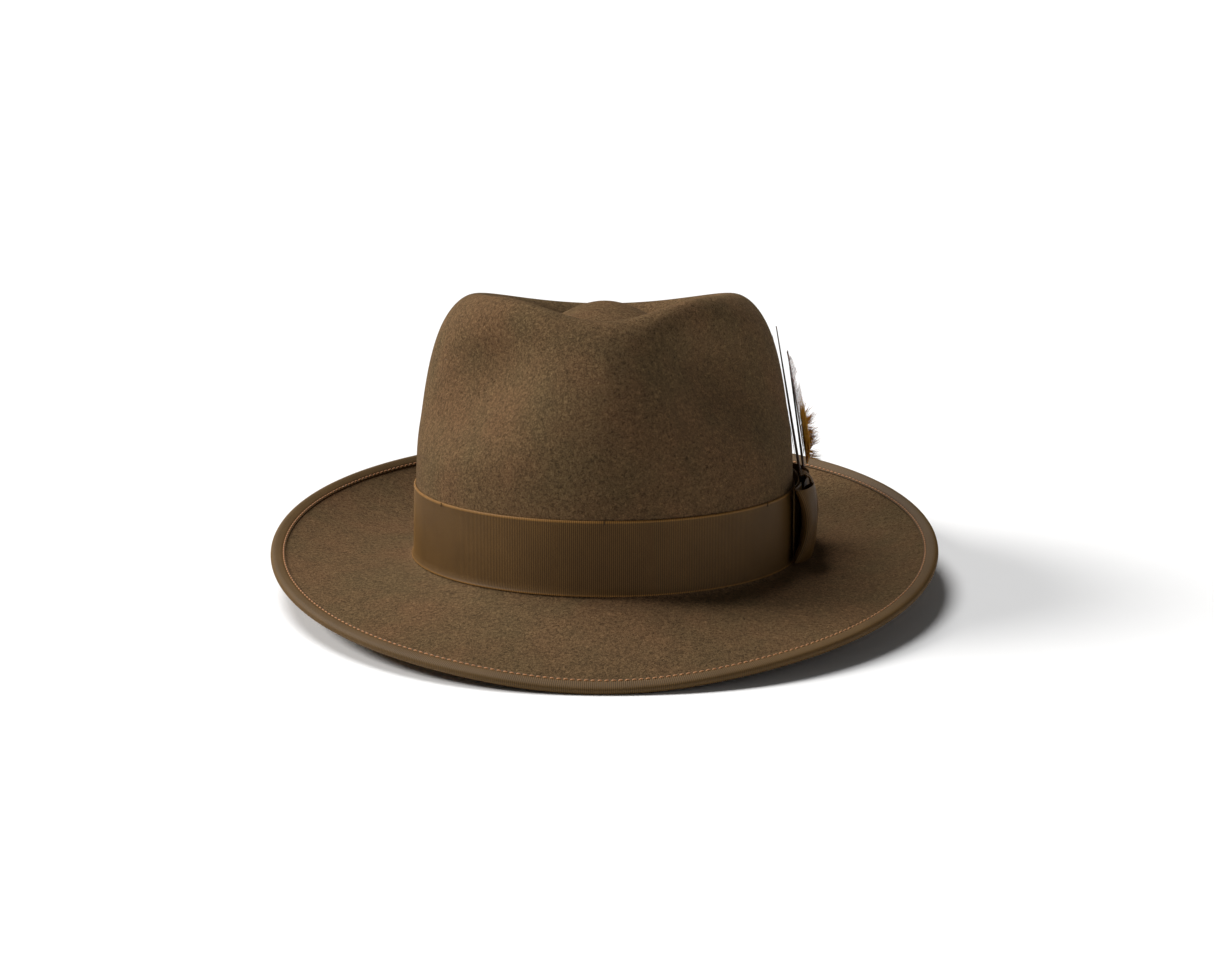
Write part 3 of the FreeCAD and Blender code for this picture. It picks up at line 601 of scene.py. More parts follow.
def sun_light(name, towards, power, softness, colour):
    """A broad soft light from far away; towards is the direction from the hat to it."""
    data = bpy.data.lights.new(name, "SUN")
    data.energy = power
    data.angle = math.radians(softness)
    data.color = colour
    light = bpy.data.objects.new(name, data)
    light.rotation_euler = (-Vector(towards)).to_track_quat("-Z", "Y").to_euler()
    bpy.context.scene.collection.objects.link(light)


WORLD_LIGHT = 0.05
FLOOR_HALF = 40.0                         # metres
LIGHTS = [
    # name, direction from the hat, power, angle it spreads over, colour
    ("key", (-0.82, 0.10, 0.56), 2.8, 20, (1.0, 0.985, 0.965)),
    ("back", (-0.32, 0.40, 0.86), 2.4, 28, (1, 1, 1)),
    ("fill", (0.80, -0.50, 0.25), 0.26, 60, (1, 1, 1)),
]


def make_studio():
    """White paper, a key light from the left, one from behind and above, and a weak fill."""
    scene = bpy.context.scene
    scene.view_settings.view_transform = "Standard"
    scene.view_settings.look = "None"
    world = bpy.data.worlds.new("studio")
    scene.world = world
    world.use_nodes = True
    background = world.node_tree.nodes["Background"]
    background.inputs["Color"].default_value = (1.0, 1.0, 1.0, 1.0)
    background.inputs["Strength"].default_value = WORLD_LIGHT
    for light in LIGHTS:
        sun_light(*light)
    half = FLOOR_HALF
    floor = new_object("floor", [(-half, -half, 0), (half, -half, 0), (half, half, 0),
                                 (-half, half, 0)], [[0, 1, 2, 3]], smooth=False)
    paper = plain_material("floor_paper", srgb(246, 246, 246), 0.95, 0.004, 0.05)
    floor.data.materials.append(paper)


make_camera()
make_studio()


# ---------------------------------------------------------------- felt

def make_felt():
    """One piece of felt: the outside from brim edge to crown, and the inside back again."""
    phi = np.linspace(0, 2 * np.pi, 320, endpoint=False)
    outside = felt_outside(phi, 30, 130)
    normal = normals_of(outside, True)
    normal[:, -1] = UP
    inside = (outside - normal * FELT)[:, ::-3]
    edge = (outside - normal * FELT)[:, :1]
    points = np.concatenate([inside[:, 1:], edge, outside[:, :-1]], 1)
    count = points.shape[1]
    faces = grid_faces(len(phi), count, True, False).tolist()
    vertices = np.concatenate([points.reshape(-1, 3), inside[:1, 0], outside[:1, -1]])
    pole_in, pole_out = len(vertices) - 2, len(vertices) - 1
    for i in range(len(phi)):
        j = (i + 1) % len(phi)
        faces.append([pole_in, j * count, i * count])
        faces.append([pole_out, i * count + count - 1, j * count + count - 1])
    item = new_object("felt_hat", to_row(vertices), faces)
    dress(item, "felt", "hat", "felt_body")


# ---------------------------------------------------------------- ribbon round the crown

RIB = 0.85                   # spacing of the grosgrain's ribs
RIB_HEIGHT = 0.13
RIBBON_FOOT = 0.9
RIBBON_GAP = 0.28
RIBBON_THICK = 0.5
RIBBON_MIDDLE = 15.0


def ribs(count, per_rib):
    """Height of a ribbed surface, 0 to 1, at each of count columns."""
    return 0.5 + 0.5 * np.cos(2 * np.pi * np.arange(count) / per_rib)


def ribbon_line(phi):
    """The line round the crown, half way up the ribbon, that its length is taken along."""
    return wall(phi, [RIBBON_MIDDLE], RIBBON_GAP)[:, 0]


def make_band():
    """The ribbon round the crown, ribbed across its width, with a fine rolled selvedge."""
    per_rib = 4
    length = girth(ribbon_line, 721)
    count = int(round(length / RIB)) * per_rib
    phi = even_angles(ribbon_line, count)
    part_way = np.array([0, 0.008, 0.024, 0.04, 0.12, 0.3, 0.5, 0.7, 0.88, 0.96, 0.976, 0.992, 1])
    heights = RIBBON_FOOT + part_way * RIBBON_WIDTH
    selvedge = np.where((part_way < 0.03) | (part_way > 0.97), 1.0, 0.0)
    thick = RIBBON_THICK + 0.14 * selvedge
    thick[[0, -1]] = 0.3
    inner = wall(phi, heights, RIBBON_GAP)
    outer = wall(phi, heights, RIBBON_GAP + thick)
    rise = ribs(count, per_rib)[:, None] * RIB_HEIGHT * (1 - 0.6 * selvedge)
    rise[:, [0, -1]] = 0
    outer = outer + outward(phi)[:, None] * rise[..., None]
    points = np.concatenate([outer, inner[:, ::-1]], 1)
    item = ring_object("ribbon_band", points, sharp=70)
    # The rib tone, which the material paints as shade in the grooves and highlight on the crests.
    set_tone(item, np.repeat(ribs(count, per_rib), points.shape[1]))
    dress(item, "band_ribbon", "hat", "hat_band", look="band_edge")


# ---------------------------------------------------------------- bound edge of the brim

COVER = 5.0
BINDING_GAP = 0.12
BINDING_THICK = 0.40
STITCH_BACK = 0.8            # from the binding's inner edge to its line of stitches
STITCH_PITCH = 2.9
STITCH_LENGTH = 2.2
THREAD = 0.36


def brim_edge(phi):
    return brim_point(phi, BRIM)


def brim_frame(phi, back):
    """The top of the brim a distance in from its edge: point, outward along it, upward."""
    point = brim_point(phi, BRIM - back)
    along = unit(brim_point(phi, BRIM - back + 0.5) - brim_point(phi, BRIM - back - 0.5))
    side = unit(oval(phi + np.pi / 2, HALF_WIDTH, HALF_LENGTH))
    return point, along, unit(np.cross(along, side))


def on_binding(phi, back, proud, side):
    """A point over the binding: in from the edge, proud of the felt; side 1 top, -1 below."""
    point, _, up = brim_frame(phi, back)
    lift = proud if side > 0 else -FELT - proud
    return point + up * lift


def binding_section(phi):
    """The binding's section at each angle, and how much of the ribs' height each point has."""
    high = BINDING_GAP + BINDING_THICK
    top = [(COVER, 0.25, 0.0), (COVER - 0.05, high, 0.4), (COVER - STITCH_BACK + 0.25, high, 0.6),
           (COVER - STITCH_BACK, high - 0.12, 0.4), (COVER - STITCH_BACK - 0.3, high + 0.05, 0.8),
           (2.6, high + 0.08, 1.0), (1.0, high + 0.04, 1.0)]
    points = [on_binding(phi, back, proud, 1) for back, proud, _ in top]
    amount = [share for _, _, share in top]
    edge, along, up = brim_frame(phi, 0.0)
    middle = edge - up * (FELT / 2)
    radius = FELT / 2 + high
    for angle in np.radians([78, 55, 30, 8, -14, -36, -58, -80]):
        points.append(middle + along * (math.cos(angle) * radius * 0.8)
                      + up * (math.sin(angle) * radius))
        amount.append(1.0)
    for back, proud, share in top[::-1]:
        points.append(on_binding(phi, back, proud, -1))
        amount.append(share)
    for back, side in ((COVER - 0.1, -1), (0.3, -1), (0.3, 1), (COVER - 0.1, 1)):
        points.append(on_binding(phi, back, BINDING_GAP, side))
        amount.append(0.0)
    return np.stack(points, 1), np.array(amount)


def make_binding():
    """Grosgrain folded over the brim's edge, its ribs square to the edge."""
    per_rib = 3
    length = girth(brim_edge)
    count = int(round(length / RIB)) * per_rib
    phi = even_angles(brim_edge, count)
    section, amount = binding_section(phi)
    away = -normals_of(section, True, True)
    if (away[0, 10] * brim_frame(phi, 0.0)[1][0]).sum() < 0:
        away = -away
    rise = ribs(count, per_rib)[:, None] * amount[None] * 0.2
    item = ring_object("edge_binding", section + away * rise[..., None], sharp=70)
    # The rib tone, which the material paints as shade in the grooves and highlight on the crests.
    set_tone(item, np.repeat(ribs(count, per_rib), section.shape[1]))
    dress(item, "binding_ribbon", "hat", "brim_binding")


def stitch_line(name, line, up, count, filled, radius, sides=6):
    """A row of separate stitches along a closed line, each sunk at both its ends."""
    phi = even_angles(line, count)
    ahead = np.roll(phi, -1)
    ahead[-1] += 2 * np.pi
    dive = np.array([-1.5, 0.1, 0.75, 0.95, 0.75, 0.1, -1.5]) * radius
    width = np.array([0.35, 0.85, 1, 1, 1, 0.85, 0.35]) * radius
    place = np.array([0.0, 0.06, 0.25, 0.5, 0.75, 0.94, 1.0]) * filled
    rings = []
    for part, lift, thick in zip(place, dive, width):
        here = phi + (ahead - phi) * part
        centre, square = line(here), up(here)
        along = unit(line(here + 0.002) - line(here - 0.002))
        side = np.cross(along, square)
        for k in range(sides):
            turn = 2 * math.pi * k / sides
            rings.append(centre + square * (lift + math.sin(turn) * thick * 0.8)
                         + side * (math.cos(turn) * thick))
    points = np.stack(rings, 1)
    steps = len(place)
    per = steps * sides
    faces = []
    for i in range(count):
        base = i * per
        for a in range(steps - 1):
            for b in range(sides):
                c = (b + 1) % sides
                faces.append([base + a * sides + b, base + (a + 1) * sides + b,
                              base + (a + 1) * sides + c, base + a * sides + c])
        faces.append([base + b for b in range(sides)])
        faces.append([base + per - 1 - b for b in range(sides)])
    return new_object(name, to_row(points.reshape(-1, 3)), faces)


def make_binding_stitches():
    length = girth(brim_edge)
    count = int(length / STITCH_PITCH)
    back = COVER - STITCH_BACK
    proud = BINDING_GAP + BINDING_THICK - 0.08
    for name, node, side in (("binding_stitches_top", "binding_thread_top", 1),
                             ("binding_stitches_under", "binding_thread_bottom", -1)):
        def line(phi):
            return on_binding(phi, back, proud, side)

        def up(phi):
            return brim_frame(phi, back)[2] * side
        item = stitch_line(name, line, up, count, STITCH_LENGTH / STITCH_PITCH, THREAD)
        dress(item, "binding_thread", "hat", node)


# ---------------------------------------------------------------- bow

BOW_RADIUS = HALF_LENGTH ** 2 / HALF_WIDTH
BOW_MIDDLE = np.array([HALF_WIDTH - BOW_RADIUS, 0.0, 0.0])
BOW_FOOT = 2.5
BOW_WIDTH = 33.0
BOW_SPAN = 38.0
PANEL_SPAN = 30.0
PANEL_OUT = 1.75
KNOT_WIDTH = 14.0
RIBBON = 0.6
LOOP_LENGTH = 2 * BOW_SPAN
KNOT_LENGTH = 46.0


def bow_point(back, proud, height):
    """Back along the ribbon, proud of the felt's oval, and up from the break."""
    turn = back / BOW_RADIUS
    flat = np.stack([np.cos(turn), np.sin(turn), 0 * turn], -1)
    return BOW_MIDDLE + flat * (BOW_RADIUS + proud)[..., None] + UP * height[..., None]


def smooth_line(points, count):
    """Evenly spaced points along a Catmull-Rom curve through the given ones."""
    p = np.asarray(points, float)
    p = np.concatenate([2 * p[:1] - p[1:2], p, 2 * p[-1:] - p[-2:-1]])
    fine = []
    for a, b, c, d in zip(p, p[1:], p[2:], p[3:]):
        for f in np.linspace(0, 1, 24, endpoint=False):
            fine.append(0.5 * (2 * b + (c - a) * f + (2 * a - 5 * b + 4 * c - d) * f * f
                               + (3 * b - a - 3 * c + d) * f ** 3))
    fine = np.array(fine + [p[-2]])
    place = lengths(fine)
    wanted = np.linspace(0, place[-1], count)
    return np.stack([np.interp(wanted, place, fine[:, k]) for k in range(p.shape[1])], -1)


def ribbed_strip(name, middle, thickness, per_rib=4, rib_height=0.12):
    """A ribbon from its middle surface, ribbed on both faces; grid runs length, then width."""
    normal = normals_of(middle, False)
    count = middle.shape[0]
    rise = ribs(count, per_rib)[:, None] * rib_height
    edge = np.ones(middle.shape[1])
    edge[[0, -1]] = 0.45
    half = (thickness / 2 + rise * 0.7) * edge[None]
    front = middle + normal * half[..., None]
    back = middle - normal * half[..., None]
    item = strip_object(name, front, back, sharp=70)
    # The rib tone, which the material paints as shade in the grooves and highlight on the crests.
    set_tone(item, np.tile(np.repeat(ribs(count, per_rib), middle.shape[1]), 2))
    return item


LOOP_NEAR = PANEL_OUT + RIBBON * 1.5 + 0.3
LOOP_PLAN = [
    (2.0, 0.0), (12.0, 0.0), (24.0, 0.0), (34.0, 0.1), (37.2, 0.9), (38.0, 2.2), (36.6, 3.8),
    (33.0, 5.0), (26.0, 6.2), (18.0, 6.2), (12.0, 5.6), (8.0, 4.0), (5.0, 2.6), (2.0, 2.0),
]
TIP_BULGE = 4.3
TIP_HOLLOW = 2.4


def loop_surface(side, seed):
    """A bow loop: ribbon out to a fold and back, pinched by the knot and bowed at the fold."""
    plan = smooth_line(LOOP_PLAN, 4 * int(round(LOOP_LENGTH / RIB)) + 1)
    v = np.linspace(-1, 1, 21)
    back, proud = plan[:, :1], plan[:, 1:]
    far = np.clip(back / BOW_SPAN, 0, 1)
    pinch = 1 - 0.30 * np.exp(-(back / 9.0) ** 2)
    outer_leaf = np.clip((proud - 1.6) / 2.0, 0, 1)
    height = BOW_FOOT + BOW_WIDTH / 2 * (1 + v * pinch)
    bulge = TIP_BULGE * (1 - v ** 2) * far ** 1.5
    creases = 0.55 * np.sin(3.3 * np.pi * v + seed) * np.exp(-back / 9.0) * outer_leaf
    droop = 0.6 * far * v * np.cos(seed)
    hollow = TIP_HOLLOW * (1 - v ** 2) * far ** 4
    return bow_point((back - hollow) * side, LOOP_NEAR + proud + bulge + creases + droop,
                     height + 0 * back)


def make_loops():
    for name, node, side, seed in (("front_loop_ribbon", "bow_front_loop", -1, 0.4),
                                   ("rear_loop_ribbon", "bow_rear_loop", 1, 2.1)):
        item = ribbed_strip(name, loop_surface(side, seed), RIBBON - 0.1)
        dress(item, "band_ribbon", "hat", node)


def make_panel():
    """The strip under the loops that hides the ribbon's join."""
    count = 4 * int(round(2 * PANEL_SPAN / RIB)) + 1
    back = np.linspace(-PANEL_SPAN, PANEL_SPAN, count)[:, None]
    v = np.linspace(0, 1, 9)[None]
    height = BOW_FOOT + BOW_WIDTH * v + 0 * back
    proud = PANEL_OUT + RIBBON / 2 + 0 * height
    item = ribbed_strip("bow_panel_ribbon", bow_point(back + 0 * v, proud, height), RIBBON - 0.1)
    dress(item, "band_ribbon", "hat", "bow_base_panel")


def make_knot():
    """The ribbon wrapped over the middle of the bow, gathered into soft pleats."""
    top = BOW_FOOT + BOW_WIDTH
    foot = BOW_FOOT
    plan = [(3.1, top + 0.9), (5.0, top + 1.5), (7.9, top - 1.0), (9.8, top - 7.5),
            (10.6, top - 16.5), (9.8, foot + 7.5), (7.9, foot + 1.0), (5.0, foot - 1.4),
            (3.1, foot - 0.9)]
    line = smooth_line(plan, 4 * int(round(KNOT_LENGTH / RIB)) + 1)
    v = np.linspace(-1, 1, 33)[None]
    proud, height = line[:, :1], line[:, 1:]
    part_way = np.linspace(0, 1, len(line))[:, None]
    belly = np.sin(np.pi * part_way)
    half = KNOT_WIDTH / 2 * (0.88 + 0.12 * belly)
    pleats = 0.55 * np.cos(2.5 * np.pi * v + 0.6) * (0.5 + 0.5 * belly)
    crown_of_knot = -1.9 * v ** 2 * belly
    middle = bow_point(half * v, proud + (pleats + crown_of_knot) * belly ** 0.5 + 0 * v,
                       height + 0 * v)
    item = ribbed_strip("knot_ribbon", middle, RIBBON - 0.1)
    dress(item, "band_ribbon", "hat", "bow_knot")


# ---------------------------------------------------------------- sweatband and lining

BAND_INSET = 5.3
BAND_THICK = 0.9
BAND_HEIGHT = 44.0
BAND_FOOT = -0.2


def make_sweatband():
    """The leather strip inside, a little wavy at its free top edge, open at the back."""
    slot = 0.6 / HALF_WIDTH
    phi = np.linspace(-np.pi + slot, np.pi - slot, 361)
    height = np.array([0, 0.6, 2.0, 2.6, 3.2, 8, 16, 24, 32, 38, 42, 43.6, 44.0])
    wave = 0.35 * np.sin(5 * phi + 0.7) + 0.2 * np.sin(11 * phi)
    free = (height / BAND_HEIGHT) ** 2
    groove = 0.18 * np.exp(-((height - 2.6) / 0.5) ** 2)
    face = BAND_INSET + BAND_THICK - 0.1 * (height < 0.3) - 0.15 * (height > 43.8) - groove
    back = BAND_INSET + 0.06 + 0.15 * (height > 43.8)
    surfaces = []
    for inset in (face, back):
        depth = inset[None] + wave[:, None] * free[None] * 0.5
        middle = corner(phi)[:, None] - outward(phi)[:, None] * depth[..., None]
        surfaces.append(middle + UP * (BAND_FOOT + height)[None, :, None])
    item = strip_object("sweatband_strip", surfaces[0], surfaces[1], sharp=60)
    dress(item, "sweatband_leather", "hat", "sweatband")


def make_sweatband_stitches():
    inset = BAND_INSET + BAND_THICK + 0.05

    def line(phi):
        middle = oval(phi, HALF_WIDTH - inset, HALF_LENGTH - inset)
        return middle + UP * (BAND_FOOT + 2.6)

    def up(phi):
        return -outward(phi)
    item = stitch_line("sweatband_stitches", line, up, 192, 0.74, 0.24)
    dress(item, "sweatband_thread", "hat", "sweatband_stitching")


def make_inner_bow():
    """The small flat bow on the sweatband, over its slot: two loops and a waist."""
    half, tall = 11.0, 4.0
    u = np.linspace(-1, 1, 49)
    v = np.linspace(-1, 1, 9)
    waist = 0.32 + 0.68 * np.clip(np.abs(u) * 1.25, 0, 1) ** 0.8
    notch = 1.2 * (1 - np.abs(v))[None] * np.clip((np.abs(u) - 0.8) / 0.2, 0, 1)[:, None]
    x = u[:, None] * (half - notch)
    z = 10.0 + v[None] * tall * waist[:, None]
    puff = 0.35 * np.sin(np.pi * np.clip(np.abs(u), 0, 1))[:, None] * (1 - v ** 2)[None]
    inset = BAND_INSET + BAND_THICK + 0.55 + puff
    y = HALF_LENGTH - inset - x ** 2 / (2 * HALF_WIDTH ** 2 / HALF_LENGTH)
    middle = np.stack([x, y, z + 0 * x], -1)
    item = ribbed_strip("sweatband_bow_ribbon", middle, 0.5, rib_height=0.08)
    dress(item, "cotton_tape", "hat", "sweatband_bow")


TIP_WIDTH, TIP_LENGTH, TIP_HEIGHT, TIP_SHIFT = 62.0, 71.0, 84.0, 3.0


def make_lining():
    """Satin round the inside of the crown, drawn into soft gathers where it meets its top."""
    phi = np.linspace(0, 2 * np.pi, 720, endpoint=False)
    low = FELT + 0.3
    rows = []
    for height, gap in ((8, low), (8.6, low), (14, low), (20, low), (26, low), (32, low),
                        (38, low), (44, low), (50, low + 0.3), (55, low + 0.5), (60, low + 1.0),
                        (64, low + 1.6), (68, low + 2.7), (71, low + 4.0)):
        rows.append(wall(phi, [height], -gap)[:, 0])
    top = [(1.07, 5.0), (1.03, 1.6), (0.995, 0.5), (0.96, 0.4)]
    control = [rows[-1]] + [oval(phi, TIP_WIDTH * k, TIP_LENGTH * k, TIP_SHIFT, TIP_HEIGHT - d)
                            for k, d in top]
    for part_way in np.linspace(0, 4, 13)[1:]:
        i = min(int(part_way), 3)
        f = part_way - i
        rows.append(control[i] * (1 - f) + control[i + 1] * f)
    grid = np.stack(rows, 1)
    count = grid.shape[1]
    gather = np.concatenate([np.zeros(2), np.linspace(0.1, 1, count - 4), [0.5, 0.15]])
    folds = 0.5 + 0.5 * np.sin(58 * phi + 1.3 * np.sin(3 * phi)) * np.cos(17 * phi) ** 2
    folds = folds * 0.55 + 0.25 * (1 + np.sin(23 * phi + 2))
    inward = -normals_of(grid, True)
    if (inward[0, 3] * outward(phi[:1])[0]).sum() > 0:
        inward = -inward
    outer = grid + inward * (folds[:, None] * gather[None] * 0.9)[..., None]
    inner = outer + inward * 0.25
    item = ring_object("lining_side_satin", np.concatenate([inner, outer[:, ::-1]], 1), sharp=70)
    dress(item, "lining_satin", "hat", "lining_side")


def make_lining_tip():
    """The oval top of the lining, with a slight sag."""
    phi = np.linspace(0, 2 * np.pi, 240, endpoint=False)
    radii = np.linspace(0.02, 1, 30)
    rows = []
    for k in radii:
        sag = 0.12 * math.sin(k * 9) * np.cos(3 * phi)
        rows.append(oval(phi, TIP_WIDTH * k, TIP_LENGTH * k, TIP_SHIFT, TIP_HEIGHT + 0.1)
                    + UP * sag[:, None] * (1 - k))
    lower = np.stack(rows, 1)
    item = ring_object("lining_tip_satin",
                       np.concatenate([lower, lower[:, ::-1] + UP * 0.28], 1), sharp=60)
    dress(item, "lining_satin", "hat", "lining_tip")


def make_piping():
    """A thin twisted cord along the seam between the lining's side and top."""
    phi = np.linspace(0, 2 * np.pi, 1200, endpoint=False)
    middle = oval(phi, TIP_WIDTH * 0.97, TIP_LENGTH * 0.97, TIP_SHIFT, TIP_HEIGHT - 1.5)
    rings = []
    for k in range(10):
        turn = 2 * np.pi * k / 10
        radius = 0.44 + 0.07 * np.cos(2 * turn - 150 * phi)
        rings.append(middle + outward(phi) * (radius * math.cos(turn))[:, None]
                     + UP * (radius * math.sin(turn))[:, None])
    item = ring_object("lining_piping_cord", np.stack(rings, 1))
    dress(item, "lining_satin", "hat", "lining_tip_piping")


# ---------------------------------------------------------------- feather

def rotation_to(direction):
    """The smallest rotation that takes up to a direction, as FreeCAD's Rotation(UP, aim)."""
    return np.array(Vector((0, 0, 1)).rotation_difference(Vector(direction)).to_matrix())


FEATHER_FOOT = np.array([90.7, 17.0, 34.0])
FEATHER_AIM = (-0.165, 0.18, 1.0)
FEATHER_TURN = rotation_to(FEATHER_AIM)
RUST_TURN = FEATHER_TURN @ np.array(Matrix.Rotation(math.radians(1.5), 3, "Y"))
RUST_FOOT = FEATHER_FOOT + FEATHER_TURN @ np.array([1.95, 0.0, 2.0])


def from_feather(points, rust=False):
    """The feather's own frame: z up its stem, x out from the crown, y to the back."""
    turn, foot = (RUST_TURN, RUST_FOOT) if rust else (FEATHER_TURN, FEATHER_FOOT)
    return foot + np.asarray(points) @ turn.T


class Strands:
    """Gathers many thin tapered strands, each with a tone, into one mesh."""

    def __init__(self, sides):
        self.sides = sides
        self.vertices = []
        self.faces = []
        self.tones = []

    def add(self, line, width, depth, tone, flat=(1.0, 0.0, 0.0)):
        """A strand along a line of points: width and depth of its section at each point."""
        line = np.asarray(line, float)
        steps = len(line)
        width = np.broadcast_to(width, steps)
        depth = np.broadcast_to(depth, steps)
        tone = np.broadcast_to(tone, steps)
        along = unit(np.gradient(line, axis=0))
        side = unit(np.cross(along, np.asarray(flat, float)))
        up = np.cross(side, along)
        base = len(self.vertices)
        for i in range(steps):
            for k in range(self.sides):
                turn = 2 * math.pi * k / self.sides
                self.vertices.append(line[i] + side[i] * (math.cos(turn) * width[i] / 2)
                                     + up[i] * (math.sin(turn) * depth[i] / 2))
                self.tones.append(float(tone[i]))
        for i in range(steps - 1):
            for k in range(self.sides):
                j = (k + 1) % self.sides
                a = base + i * self.sides
                self.faces.append([a + k, a + j, a + j + self.sides, a + k + self.sides])
        self.faces.append([base + k for k in reversed(range(self.sides))])
        last = base + (steps - 1) * self.sides
        self.faces.append([last + k for k in range(self.sides)])

    def object(self, name, rust=False):
        item = new_object(name, to_row(from_feather(self.vertices, rust)), self.faces)
        set_tone(item, self.tones)
        return item


TIP_CURL = 1.6               # how far the barbs at the tip come back in to the crown


def vane_width(part_way):
    """How wide a vane is along its length, as a share of its widest."""
    places = [0.0, 0.12, 0.36, 0.55, 0.7, 0.85, 0.92, 1.0]
    widths = [0.05, 0.6, 1.0, 0.95, 0.8, 0.55, 0.35, 0.04]
    return np.interp(part_way, places, widths)


def make_vane(name, slot, node, low, high, half_width, out, seed, flare, splits, rust):
    """A vane of separate barbs that leave the shaft at an angle and sweep up to the tip;
    they hang together in clumps, and those at the back flare out from the crown."""
    random = np.random.default_rng(seed)
    strands = Strands(4)
    spacing = 0.42
    count = int((high - low) / spacing)
    part = np.linspace(0, 1, 9)
    for side in (-1, 1):
        sweep, stretch = 0.0, 1.0
        lean = flare if side > 0 else 0.02
        for i in range(count):
            if random.random() < splits:
                sweep = random.normal(0, 0.15)
                stretch = random.uniform(0.78, 1.08)
                lean = (flare if side > 0 else 0.02) * random.uniform(0.6, 1.35)
            along = (i + 0.5) / count
            reach = half_width * vane_width(along) * stretch * (1 + random.normal(0, 0.03))
            rise = reach * (0.85 + sweep + random.normal(0, 0.02))
            foot = low + along * (high - low) * 0.93
            y = side * (0.25 + reach * part * math.sqrt(1 - min(lean, 0.8) ** 2))
            z = foot + rise * (0.35 * part + 0.65 * part ** 1.7)
            x = out + lean * part ** 1.4 * reach - TIP_CURL * (z / high) ** 2
            tone = np.clip(0.35 + 0.5 * part + 0.12 * random.normal()
                           - 0.25 * (np.sin(along * 26) > 0.55), 0, 1)
            width = spacing * np.interp(part, [0, 0.6, 1], [1.25, 1.0, 0.25])
            strands.add(np.stack([x, y, z], -1), width, 0.10, tone)
    item = strands.object(name, rust)
    dress(item, slot, "feather", node)


def make_shaft(name, node, low, high, thick, thin, bend, rust):
    """A quill, flattened and thinning to its tip, with a slight natural curve."""
    strands = Strands(10)
    part = np.linspace(0, 1, 30)
    z = low + (high - low) * part
    radius = thick + (thin - thick) * part
    line = np.stack([0 * part, bend * np.sin(np.pi * part * 0.9), z], -1)
    strands.add(line, radius * 2, radius * 1.7, 0.5 + 0 * part, flat=(0.0, 1.0, 0.0))
    item = strands.object(name, rust)
    dress(item, "feather_shaft", "feather", node)


LYING_HAIRS = 560
WILD_HAIRS = 330
TUFT_HAIRS = 7                  # wild hairs that stand together in one tuft


def add_lying_hairs(strands, random, part):
    """Hairs that lie along the feather and spread as they rise."""
    for _ in range(LYING_HAIRS):
        start = random.uniform(0.0, 15.0)
        spread = random.uniform(-1, 1)
        length = random.uniform(10.0, 21.0) * (1 - 0.25 * abs(spread))
        out = random.uniform(0.2, 1.0)
        y = spread * (1.2 + (0.42 * length + 1.0) * part ** 1.25)
        z = 1.5 + start + length * (part - 0.16 * part ** 2 * abs(spread))
        x = 1.55 + out * (0.5 + 2.3 * np.sin(np.pi * np.minimum(part * 0.72, 1)))
        x = x + random.normal(0, 0.12) * part
        tone = np.clip(0.25 + 0.6 * part + random.normal(0, 0.16), 0, 1)
        width = np.interp(part, [0, 0.3, 1], [0.24, 0.3, 0.05])
        strands.add(np.stack([x, y, z], -1), width, width * 0.7, tone)


def add_wild_hairs(strands, random, part):
    """Tufts of short hairs that stand out from the crown."""
    for i in range(WILD_HAIRS):
        if i % TUFT_HAIRS == 0:
            tuft = random.uniform(-0.6, 1.15)
            heading = random.uniform(-0.5, 1.0)
            foot = random.uniform(5.0, 24.0)
        angle = tuft + random.normal(0, 0.11)
        aside = heading + random.normal(0, 0.14)
        length = random.uniform(4.5, 8.5)
        outward_part = length * part * math.cos(angle)
        x = 1.8 + outward_part * math.cos(aside * 0.7)
        y = outward_part * math.sin(aside * 0.7) + aside * 1.2
        z = foot + length * part * math.sin(angle) + 1.4 * part ** 2
        tone = np.clip(0.75 - 0.75 * part ** 2 + random.normal(0, 0.12), 0, 1)
        width = np.interp(part, [0, 0.3, 1], [0.26, 0.3, 0.05])
        strands.add(np.stack([x, y, z], -1), width, width * 0.7, tone, flat=(0.0, 1.0, 0.3))


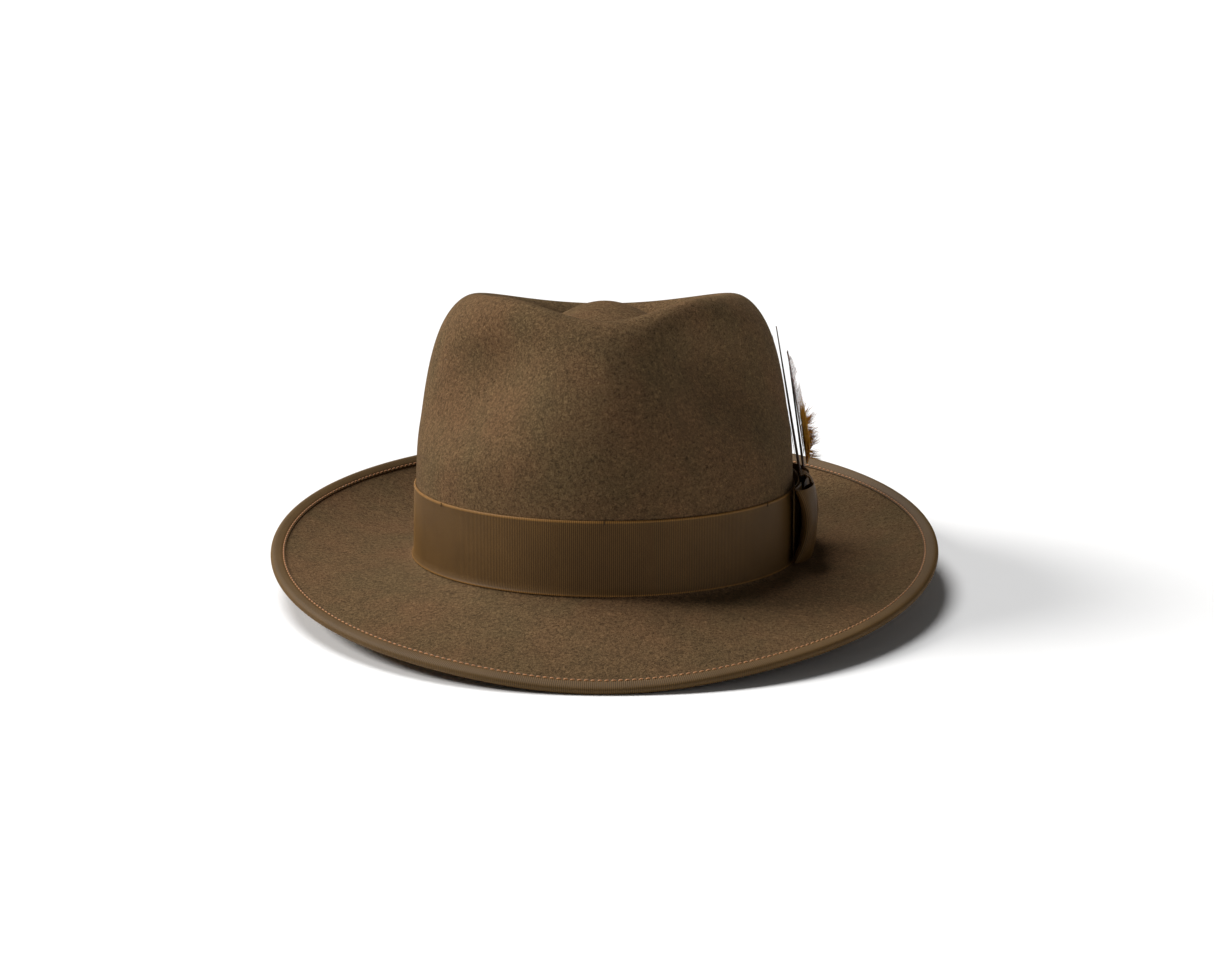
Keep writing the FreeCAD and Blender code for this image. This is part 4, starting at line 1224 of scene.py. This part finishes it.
def make_hackle():
    """The tuft of loose golden hairs that covers the foot of the feather."""
    random = np.random.default_rng(77)
    strands = Strands(3)
    part = np.linspace(0, 1, 8)
    add_lying_hairs(strands, random, part)
    add_wild_hairs(strands, random, part)
    item = strands.object("hackle_hairs", True)
    dress(item, "gold_hackle", "feather", "feather_hackle")


def make_stem_wrap():
    """Fine thread wound round the foot of the stem."""
    turns = 17
    part = np.linspace(0, 1, turns * 14)
    angle = 2 * np.pi * turns * part
    line = np.stack([1.22 * np.cos(angle), 1.22 * np.sin(angle), -7.8 + 6.6 * part], -1)
    strands = Strands(6)
    strands.add(line, 0.42, 0.42, 0.5, flat=(0.0, 0.0, 1.0))
    item = strands.object("stem_thread")
    dress(item, "dark_thread", "feather", "feather_stem_wrap")


def make_feather():
    make_shaft("dark_feather_quill", "feather_stem", -14.0, 69.0, 0.8, 0.25, 0.0, False)
    make_shaft("rust_feather_quill", "feather_rust_stem", 0.0, 55.0, 0.62, 0.25, 0.0, True)
    make_vane("dark_feather_barbs", "dark_feather", "feather_dark_vane", 7.5, 69.5, 6.0,
              -1.05, 5, 0.10, 0.06, False)
    make_vane("rust_feather_barbs", "rust_feather", "feather_rust_vane", 6.0, 58.0, 8.5,
              0.95, 9, 0.52, 0.10, True)
    make_hackle()
    make_stem_wrap()


# ---------------------------------------------------------------- carried-over pieces

KEPT = {
    "band_tack_stitches": "band_ribbon",
    "bow_tack_stitches": "band_ribbon",
    "sweatband_reed": "reed_plastic",
    "sweatband_reed_tape": "cotton_tape",
    "sweatband_seam_tape": "cotton_tape",
    "size_tag": "paper",
    "lining_tip_cover": "clear_film",
}


def finish_kept():
    """New finishes for the small CAD pieces whose shapes are already right."""
    for node, slot in KEPT.items():
        item = bpy.data.objects[node]
        item.data.materials.clear()
        item.data.materials.append(MATERIALS[slot])


make_felt()
make_band()
make_binding()
make_binding_stitches()
make_panel()
make_loops()
make_knot()
make_sweatband()
make_sweatband_stitches()
make_inner_bow()
make_lining()
make_lining_tip()
make_piping()
make_feather()
finish_kept()
